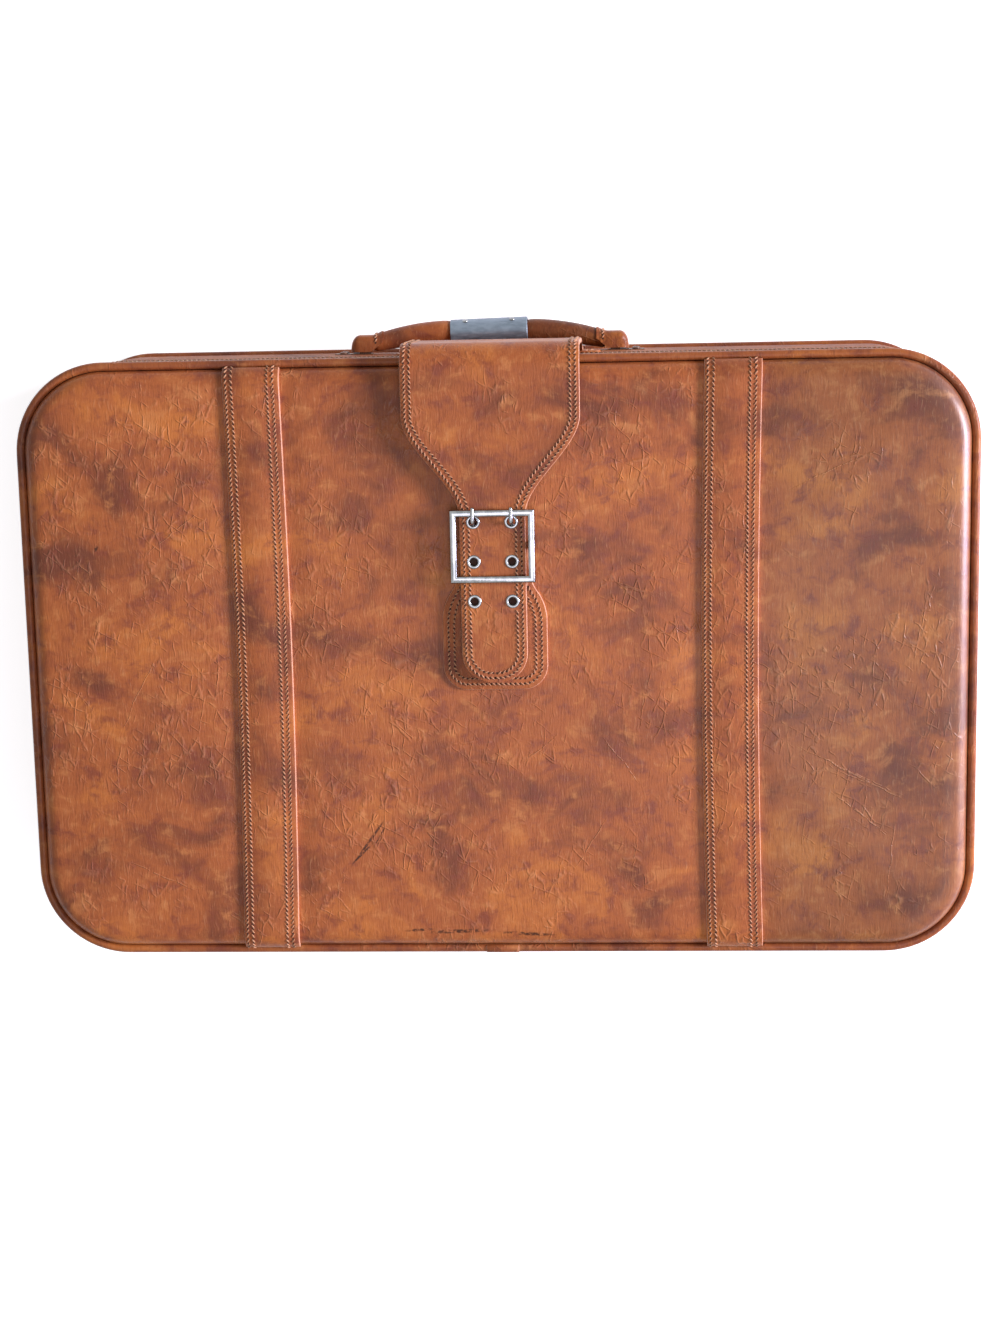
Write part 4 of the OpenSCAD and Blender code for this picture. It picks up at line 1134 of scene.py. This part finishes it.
# %% Piping
cord_radius = 3 * mm
cord_inset = wall_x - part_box("front_piping")[1].x + cord_radius


def piping(name, node, body):
    """A vinyl-covered cord along a seam."""
    low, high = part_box(node)
    middle_z = (low.z + high.z) / 2
    angles = [2 * math.pi * i / 18 for i in range(18)]
    bm = bmesh.new()
    round_the_case(bm, section(bm, [
        (wall_x - high.x + cord_radius + cord_radius * math.cos(a), middle_z + cord_radius * math.sin(a))
        for a in angles]))
    finish_piece(name, bm, [piping_vinyl], body, [node])


piping("rear_piping_cord", "back_piping", "case_body")
piping("front_piping_cord", "front_piping", "lid")

# The wrap where the cord's ends meet is cut flat on the inside
wrap_thick, wrap_flat, wrap_soft = 0.55 * mm, 2.4 * mm, 0.25 * mm
joiner_low, joiner_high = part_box("front_piping_joiner")
joiner_middle = (joiner_low + joiner_high) / 2
joiner_middle.y = cord_inset - wall_y
bm = bmesh.new()
for vert in cylinder(bm, 24, cord_radius + wrap_thick, joiner_high.x - joiner_low.x,
                     Matrix.Translation(joiner_middle) @ along_x):
    vert.co.y = min(vert.co.y, joiner_middle.y + wrap_flat)
bevel(bm, [e for e in bm.edges if e.calc_face_angle() > 1], wrap_soft, 2)
mark_edges(bm, lambda normal: abs(normal.x) > 0.3)
finish_piece(
    "piping_joiner_wrap", bm, [piping_vinyl, *sewn], "lid", ["front_piping_joiner"], 40)

# %% [markdown]
# ## Back panel, hinge strip and flap root
# The back is the same vinyl over a board, flat because the case lies on it. The halves are joined on the far
# side by a strip of vinyl that folds when the case opens, and here it rides on neither body. The root of the
# flap is a short sewn band on the handle side, a little longer than the flap is wide. The back and the root
# are rectangles that get round corners from a vertex bevel, and the hinge is a folded section, carried along
# the wall.

# %% Back panel
patch_soft = 0.4 * mm


def vinyl_patch(half_x, half_y, corner, segments, thick):
    """A flat patch of vinyl with round corners and softened rims, round the origin."""
    bm = bmesh.new()
    bmesh.ops.create_grid(bm, x_segments=1, y_segments=1, size=1)
    bmesh.ops.transform(bm, matrix=Matrix.Diagonal((half_x, half_y, 1, 1)), verts=bm.verts)
    bevel(bm, bm.verts[:], corner, segments, "VERTICES")
    raise_sheet(bm, thick, patch_soft, 2, both_rims=True)
    return bm


back_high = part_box("back_cover")[1]
bm = vinyl_patch(back_high.x, back_high.y, panel_corner, 24, vinyl_thick)
finish_piece("back_panel_vinyl", bm, [wall_vinyl], "case_body", ["back_cover"], 40)

# %% Hinge strip
hinge_low, hinge_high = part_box("hinge_strip")
fold_z = (hinge_low.z + hinge_high.z) / 2
fold_bulge, fold_sharpness = 1.2 * mm, 8
hinge_steps = 12
heights = [hinge_low.z + (hinge_high.z - hinge_low.z) * i / hinge_steps for i in range(hinge_steps + 1)]
profile = [(vinyl_thick, hinge_low.z)]
for i, z in enumerate(heights):
    profile.append((-fold_bulge * math.exp(-(fold_sharpness * (i / hinge_steps - 0.5)) ** 2), z))
profile += [(vinyl_thick, z) for z in reversed(heights[1:])]
bm = bmesh.new()
ring = line(bm, [(-run_x, inset - wall_y, z) for inset, z in profile])
zip_stop = math.radians(zip_corner)
bmesh.ops.rotate(bm, verts=only(bmesh.types.BMVert, ring), cent=(-run_x, -run_y, 0),
                 matrix=Matrix.Rotation(-zip_stop, 3, "Z"))
sweep(bm, ring, [
    ("bend", zip_stop, (-run_x, -run_y, 0), turn_z, 4),
    ("run", (2 * run_x, 0, 0)),
    ("bend", zip_stop, (run_x, -run_y, 0), turn_z, 4),
])
bmesh.ops.holes_fill(bm, edges=[e for e in bm.edges if e.is_boundary], sides=0)
hinge = finish_piece("hinge_strip_vinyl", bm, [strip_vinyl], None, ["hinge_strip"])
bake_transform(hinge)

# %% Flap root
root_size = root_high - root_low
root_rows, row_from_end = 3.2 * mm, 3 * mm
root_corner = 4 * mm
bm = vinyl_patch(root_size.x / 2, root_size.z / 2, root_corner, 6, root_size.y)
stand_up = Matrix((
    (-1, 0, 0, 0), (0, 0, 1, root_low.y), (0, 1, 0, (root_low.z + root_high.z) / 2), (0, 0, 0, 1)))
bmesh.ops.transform(bm, matrix=stand_up, verts=bm.verts)
half = root_size.x / 2 - row_from_end
sew_rows(bm, [[(-half, z), (half, z)] for z in (root_low.z + root_rows, root_high.z - root_rows)],
         lambda x, z, lift: Vector((x, root_high.y + lift, z)))
finish_piece("flap_root_vinyl", bm, [strip_vinyl, *sewn], "case_body", ["flap_root_band"], 50)

# %% [markdown]
# ## The zip
# Two woven tapes run round three sides between the halves, each with a row of brass teeth along its edge.
# The tapes are carried round like the walls. A tooth is a small bevelled block, copied at an even pitch
# along the wall, and the lid's row is shifted by half a pitch so that the rows mesh.

# %% Zip tapes and teeth
tape_thick = 1.0 * mm
tooth_pitch = 2.8 * mm
tooth_size = Vector((1.7, 1.5, 2.7)) * mm
tooth_inset, tooth_soft = 0.45 * mm, 0.3 * mm
meeting = 0.3 * mm

pattern = bmesh.new()
bmesh.ops.create_cube(pattern, size=1, matrix=Matrix.Diagonal((*tooth_size, 1)))
bevel(pattern, pattern.edges[:], tooth_soft, 1)
tooth_mesh = bpy.data.meshes.new("zip_tooth")
pattern.to_mesh(tooth_mesh)
pattern.free()


def zip_half(half, body, hand):
    """The tape and the teeth of one half. hand is -1 below the line where the halves meet and 1 above it."""
    tape_low, tape_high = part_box(half + "_zip_tape")
    outside, inside = vinyl_thick, vinyl_thick + tape_thick
    corners = [(outside, tape_low.z), (outside, tape_high.z), (inside, tape_high.z), (inside, tape_low.z)]
    bm = bmesh.new()
    round_the_case(bm, section(bm, corners), zip_corner)
    finish_piece(half + "_zip_tape_woven", bm, [zip_tape], body, [half + "_zip_tape"], 40)
    bm = bmesh.new()
    middle_z = fold_z + hand * (meeting + tooth_size.z / 2)
    distance = zip_from + tooth_pitch * (1 + hand / 4)
    while distance < zip_to - tooth_pitch:
        place, out = wall_at(distance, tooth_inset)
        turn = Matrix(((-out.y, out.x, 0), (out.x, out.y, 0), (0, 0, 1))).transposed().to_4x4()
        add_copy(bm, tooth_mesh, Matrix.Translation((*place, middle_z)) @ turn, 0)
        distance += tooth_pitch
    finish_piece(half + "_zip_teeth_brass", bm, [brass], body, [half + "_zip_teeth"], 30)


zip_half("body", "case_body", -1)
zip_half("lid", "lid", 1)

# %% [markdown]
# ## Zip sliders
# A slider is two plates joined by a web, with a pin between two lugs. The pull is a stamped tab with a
# rounded end and a stud near it, and it hangs on that pin by a ring. Both are built from bevelled blocks, as
# the castings are.

# %% Zip sliders
def block(bm, near, far, soften, corner=0.0):
    """A block between two opposite corners, with softened edges, and with rounder corners seen along y where
    corner is given."""
    low, high = Vector(map(min, near, far)), Vector(map(max, near, far))
    verts = bmesh.ops.create_cube(bm, size=1, matrix=Matrix.Translation((low + high) / 2) @ Matrix.Diagonal(
        (*(high - low), 1)))["verts"]
    edges = {e for v in verts for e in v.link_edges}
    if corner:
        along = [e for e in edges if abs((e.verts[0].co - e.verts[1].co).normalized().y) > 0.9]
        made = bevel(bm, along, corner, 6)
        edges = {e for f in made["faces"] for v in f.verts for e in v.link_edges if e.calc_face_angle() > 1}
    bevel(bm, list(edges), soften, 2)


plate, plate_round = 1.2 * mm, 2.4 * mm
plate_front = wall_y + 1.8 * mm
web_half = Vector((3, 0, 0.25)) * mm
lug_half = Vector((1.8, 0, 0.5)) * mm
lug_rise, lug_past_pin = 2.5 * mm, 1.2 * mm
pin_radius, pin_length = 0.8 * mm, 6 * mm
soft, web_soft, lug_soft = 0.3 * mm, 0.1 * mm, 0.25 * mm


def zip_slider(side):
    """The slider on one side, with the pin that its pull turns on."""
    node = "zip_slider_" + side
    low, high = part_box(node)
    pull_low, pull_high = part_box("zip_pull_" + side)
    centre_x, pin_y = (low.x + high.x) / 2, (pull_low.y + pull_high.y) / 2
    bm = bmesh.new()
    for back, face in ((plate_front - plate, plate_front), (low.y, low.y + plate)):
        block(bm, (low.x, back, low.z), (high.x, face, high.z), soft, plate_round)
    block(bm, Vector((centre_x, low.y + plate / 2, fold_z)) - web_half,
          Vector((centre_x, plate_front - plate / 2, fold_z)) + web_half, web_soft)
    for lug_z in (fold_z - lug_rise, fold_z + lug_rise):
        block(bm, Vector((centre_x, plate_front - plate / 2, lug_z)) - lug_half,
              Vector((centre_x, pin_y + lug_past_pin, lug_z)) + lug_half, lug_soft)
    cylinder(bm, 20, pin_radius, pin_length, Matrix.Translation((centre_x, pin_y, fold_z)))
    finish_piece(node + "_brass", bm, [brass], node, [node], 35)


print("slider:", round(plate_front / mm, 1), "mm from the middle of the case to its outer plate")

# %% Zip pulls
pull_half = 0.6 * mm
eye_radius, eye_wire = 1.75 * mm, 0.75 * mm
eye_stretch = Matrix.Diagonal((0.8, 1, 2.1, 1))
neck_from, neck_to, neck_half_z = 1.6 * mm, 5 * mm, 1.6 * mm
tab_from, tab_round = 4 * mm, 2.6 * mm
stud_from_end, stud_length, stud_foot, stud_top = 5 * mm, 1.7 * mm, 1.6 * mm, 1.2 * mm


def zip_pull(side, hand):
    """The pull on one side. hand is -1 where it points to the left and 1 to the right."""
    node = "zip_pull_" + side
    low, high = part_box(node)
    slider_low, slider_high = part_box("zip_slider_" + side)
    pin = Vector(((slider_low.x + slider_high.x) / 2, (low.y + high.y) / 2, fold_z))
    far_x = high.x if hand > 0 else low.x
    bm = bmesh.new()
    eye_place = Matrix.Translation(pin + Vector((eye_radius, 0, 0))) @ eye_stretch @ along_y
    spin_round(bm, wire_ring(bm, 10, eye_wire, eye_place), pin, (0, 0, 1), 20)
    block(bm, pin + Vector((hand * neck_from, -pull_half, -neck_half_z)),
          pin + Vector((hand * neck_to, pull_half, neck_half_z)), soft)
    block(bm, (pin.x + hand * tab_from, pin.y - pull_half, low.z), (far_x, pin.y + pull_half, high.z),
          soft, tab_round)
    bmesh.ops.create_cone(
        bm, cap_ends=True, segments=24, radius1=stud_foot, radius2=stud_top, depth=stud_length,
        matrix=Matrix.Translation((far_x - hand * stud_from_end, pin.y, fold_z)) @ along_y)
    finish_piece(node + "_brass", bm, [brass], node, [node], 35)


for side, hand in (("left", -1), ("right", 1)):
    zip_slider(side)
    zip_pull(side, hand)

# %% [markdown]
# ## Lining
# Each half is lined with cotton glued to the board and the walls, turned over at the zip. It lies flat, so
# the section from the rim down to the floor is carried round, the floor is filled, and a solidify gives the
# cloth its thickness.

# %% Lining
cloth_thick = 0.8 * mm
# The cloth starts at the rim on the zip's side, runs in over the wire and drops down the wall
rim_inset, turn_inset, wall_inset, turn_drop = 3.9 * mm, 8.0 * mm, 8.5 * mm, 0.6 * mm
floor_round, round_steps = 6 * mm, 6


def lining_tray(name, node, body, floor_z, rim_z):
    """The lining of one half, from its rim to its floor."""
    inward = math.copysign(1, floor_z - rim_z)
    path = [(rim_inset, rim_z), (turn_inset, rim_z), (wall_inset, rim_z + inward * turn_drop)]
    for i in range(round_steps + 1):
        lean = quarter_turn * i / round_steps
        path.append((wall_inset + floor_round * (1 - math.cos(lean)),
                     floor_z - inward * floor_round * (1 - math.sin(lean))))
    bm = bmesh.new()
    round_the_case(bm, section(bm, path, closed=False))
    floor_edges = [e for e in bm.edges if e.is_boundary and abs(e.verts[0].co.z - floor_z) < 0.1 * mm]
    bmesh.ops.holes_fill(bm, edges=floor_edges, sides=0)
    piece = finish_piece(name, bm, [lining], body, [node], 50)
    cloth = piece.modifiers.new("cloth", "SOLIDIFY")
    cloth.thickness = cloth_thick
    cloth.offset = 0


body_low, body_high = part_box("body_lining")
lid_low, lid_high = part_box("lid_lining")
inside = 0.5 * mm
lining_tray("rear_lining_cloth", "body_lining", "case_body", body_low.z + inside, body_high.z - inside)
lining_tray("front_lining_cloth", "lid_lining", "lid", lid_high.z - inside, lid_low.z + inside)

# %% [markdown]
# ## The handle
# The grip is a stuffed roll of vinyl on a spring steel strip, held by a steel sleeve in the middle. A sewn
# hood hides the stirrup at each end. A grid is rolled into a tube along the handle's arc for the grip, and a
# second, thick grid is arched over the stirrup for each hood.

# %% Grip
grip_low, grip_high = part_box("handle_grip")
core_low, core_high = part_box("handle_core")
sleeve_low, sleeve_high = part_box("handle_sleeve")
handle_x, handle_z = (grip_low.x + grip_high.x) / 2, (grip_low.z + grip_high.z) / 2
handle_half = (core_high.x - core_low.x) / 2
grip_half = (grip_high.x - grip_low.x) / 2
grip_radius = (grip_high.z - grip_low.z) / 2
# How much the radius loses towards the ends, on top and on the flatter under side
grip_slim, grip_flat = 1.2 * mm, 3.5 * mm
sleeve_half = (sleeve_high.x - sleeve_low.x) / 2
level_y = (sleeve_low.y + sleeve_high.y) / 2
end_y = core_low.y + 0.75 * mm
grip_cap = 5 * mm
# The sleeve squeezes the grip by this share, up to this far beyond its ends
sleeve_squeeze, squeeze_run = 0.08, 3 * mm


def along_handle(x):
    """The height of the grip's middle line, its radius and the radius of its under side, at x."""
    run = max(abs(x) - sleeve_half, 0) / (handle_half - sleeve_half)
    slim = (run * (handle_half - sleeve_half) / (grip_half - sleeve_half)) ** 2
    middle_y = end_y + (level_y - end_y) * (1 - run * run)
    return middle_y, grip_radius - grip_slim * slim, grip_radius - grip_flat * slim


bm = bmesh.new()
bmesh.ops.create_grid(bm, x_segments=70, y_segments=24, size=1)
for vert in bm.verts:
    x = grip_half * math.sin(vert.co.x * math.pi / 2)
    turn = vert.co.y * math.pi
    centre_y, radius, under = along_handle(x)
    from_end = min((grip_half - abs(x)) / grip_cap, 1)
    squeeze = math.sqrt(max(1 - (1 - from_end) ** 2, 0))
    squeeze -= sleeve_squeeze * min(max((sleeve_half + squeeze_run - abs(x)) / squeeze_run, 0), 1)
    rise = (radius if math.cos(turn) > 0 else under) * math.cos(turn)
    vert.co = (handle_x + x, centre_y + squeeze * rise, handle_z + squeeze * radius * math.sin(turn))
bmesh.ops.remove_doubles(bm, verts=bm.verts, dist=merge_under)
# The right half of the grip takes a much darker copy of the vinyl than the left half
for face in bm.faces:
    face.material_index = int(face.calc_center_median().x > handle_x)
finish_piece("handle_grip_vinyl", bm, [strip_vinyl, grip_vinyl], "handle", ["handle_grip"])

# %% Hoods
hood_from, hood_to = grip_half - 8 * mm, handle_half + 2.4 * mm
hood_length = hood_to - hood_from
hood_thick = 0.9 * mm
hood_half = 8.3 * mm
hood_base = wall_y + 2.3 * mm
hood_rise = 11.3 * mm
hood_gap = 0.1 * mm
# Shares of a hood's length: where it has left the grip, where it starts to close, and where its stitches are
hood_spread, hood_closing, hood_row = 0.42, 0.72, 0.2
# Share of its width that a closed end keeps
hood_end = 0.35


def hood_place(hand, along, arc, lift):
    """A point of a hood: along runs from the grip to the end, arc over the top from -1 to 1."""
    x = hood_from + hood_length * along
    centre_y, radius, _ = along_handle(min(x, grip_half))
    across, up = math.sin(arc * math.pi / 2), math.cos(arc * math.pi / 2)
    snug = Vector((0, centre_y)) + Vector((across, up)) * (radius + hood_gap + lift)
    past = max(along - hood_closing, 0) / (1 - hood_closing)
    close = math.sqrt(max(1 - past * past, 0))
    wide_half = hood_half * (hood_end + (1 - hood_end) * close) + lift
    wide = Vector((
        wide_half * math.copysign(math.sqrt(abs(across)), across),
        hood_base + (hood_rise * close + lift) * math.sqrt(max(up, 0))))
    z, y = snug.lerp(wide, ease(along / hood_spread))
    return Vector((handle_x + hand * x, y, handle_z + z))


bm = bmesh.new()
reach = hood_half * math.pi / 2
row = [(hood_length * hood_row, reach * (i / 20 - 1)) for i in range(2, 39)]
for hand in (-1, 1):
    sheet = bmesh.ops.create_grid(bm, x_segments=22, y_segments=24, size=1)["verts"]
    top = raise_sheet(bm, hood_thick, faces=list({f for v in sheet for f in v.link_faces}))
    for vert in top.union(sheet):
        vert.co = hood_place(hand, vert.co.x / 2 + 0.5, vert.co.y, vert.co.z)
    sew_rows(bm, [row], lambda x, arc, lift: hood_place(
        hand, x / hood_length, arc / reach, hood_thick + lift))
finish_piece("handle_end_hoods", bm, [piping_vinyl, *sewn], "handle", crease=60)

# %% [markdown]
# ## The sleeve
# A rolled steel sleeve grips the middle of the handle and is pinned by two domed rivets. In the photograph
# it leans a little, higher on the right. Its wall is drawn as a section and spun right round the handle's
# middle line.

# %% Sleeve
sleeve_radius = (sleeve_high.z - sleeve_low.z) / 2
sleeve_wall = 1.0 * mm
lip = 0.35 * mm
sleeve_lean = math.radians(1.4)
lean = Matrix.Translation((handle_x, level_y, handle_z)) @ Matrix.Rotation(sleeve_lean, 4, "Z")
right_end = [(sleeve_half - lip, 0), (sleeve_half, -lip), (sleeve_half, lip - sleeve_wall),
             (sleeve_half - lip, -sleeve_wall)]
wall = right_end + [(-x, out) for x, out in reversed(right_end)]
bm = bmesh.new()
spin_round(bm, line(bm, [(x, sleeve_radius + out, 0) for x, out in wall]), (0, 0, 0), (1, 0, 0), 56)
bmesh.ops.transform(bm, matrix=lean, verts=bm.verts)
finish_piece("handle_sleeve_steel", bm, [zinc], "handle", ["handle_sleeve"], 30)

# %% Rivets
rivet_low, rivet_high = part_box("handle_sleeve_rivets")
rivet_radius = 2.1 * mm
rivet_dome = Matrix.Diagonal((1, 1, 0.45, 1))
rivet_from_end, rivet_turn = 1.6 * mm, math.radians(-60)
rivet_reach = (rivet_high.x - rivet_low.x) / 2 - rivet_from_end
round_the_sleeve = Matrix.Rotation(rivet_turn, 4, "X")
bm = bmesh.new()
for hand in (-1, 1):
    place = round_the_sleeve @ Matrix.Translation((hand * rivet_reach, 0, sleeve_radius))
    bmesh.ops.create_uvsphere(
        bm, u_segments=20, v_segments=12, radius=rivet_radius, matrix=lean @ place @ rivet_dome)
finish_piece("sleeve_rivet_heads", bm, [nickel], "handle", ["handle_sleeve_rivets"])
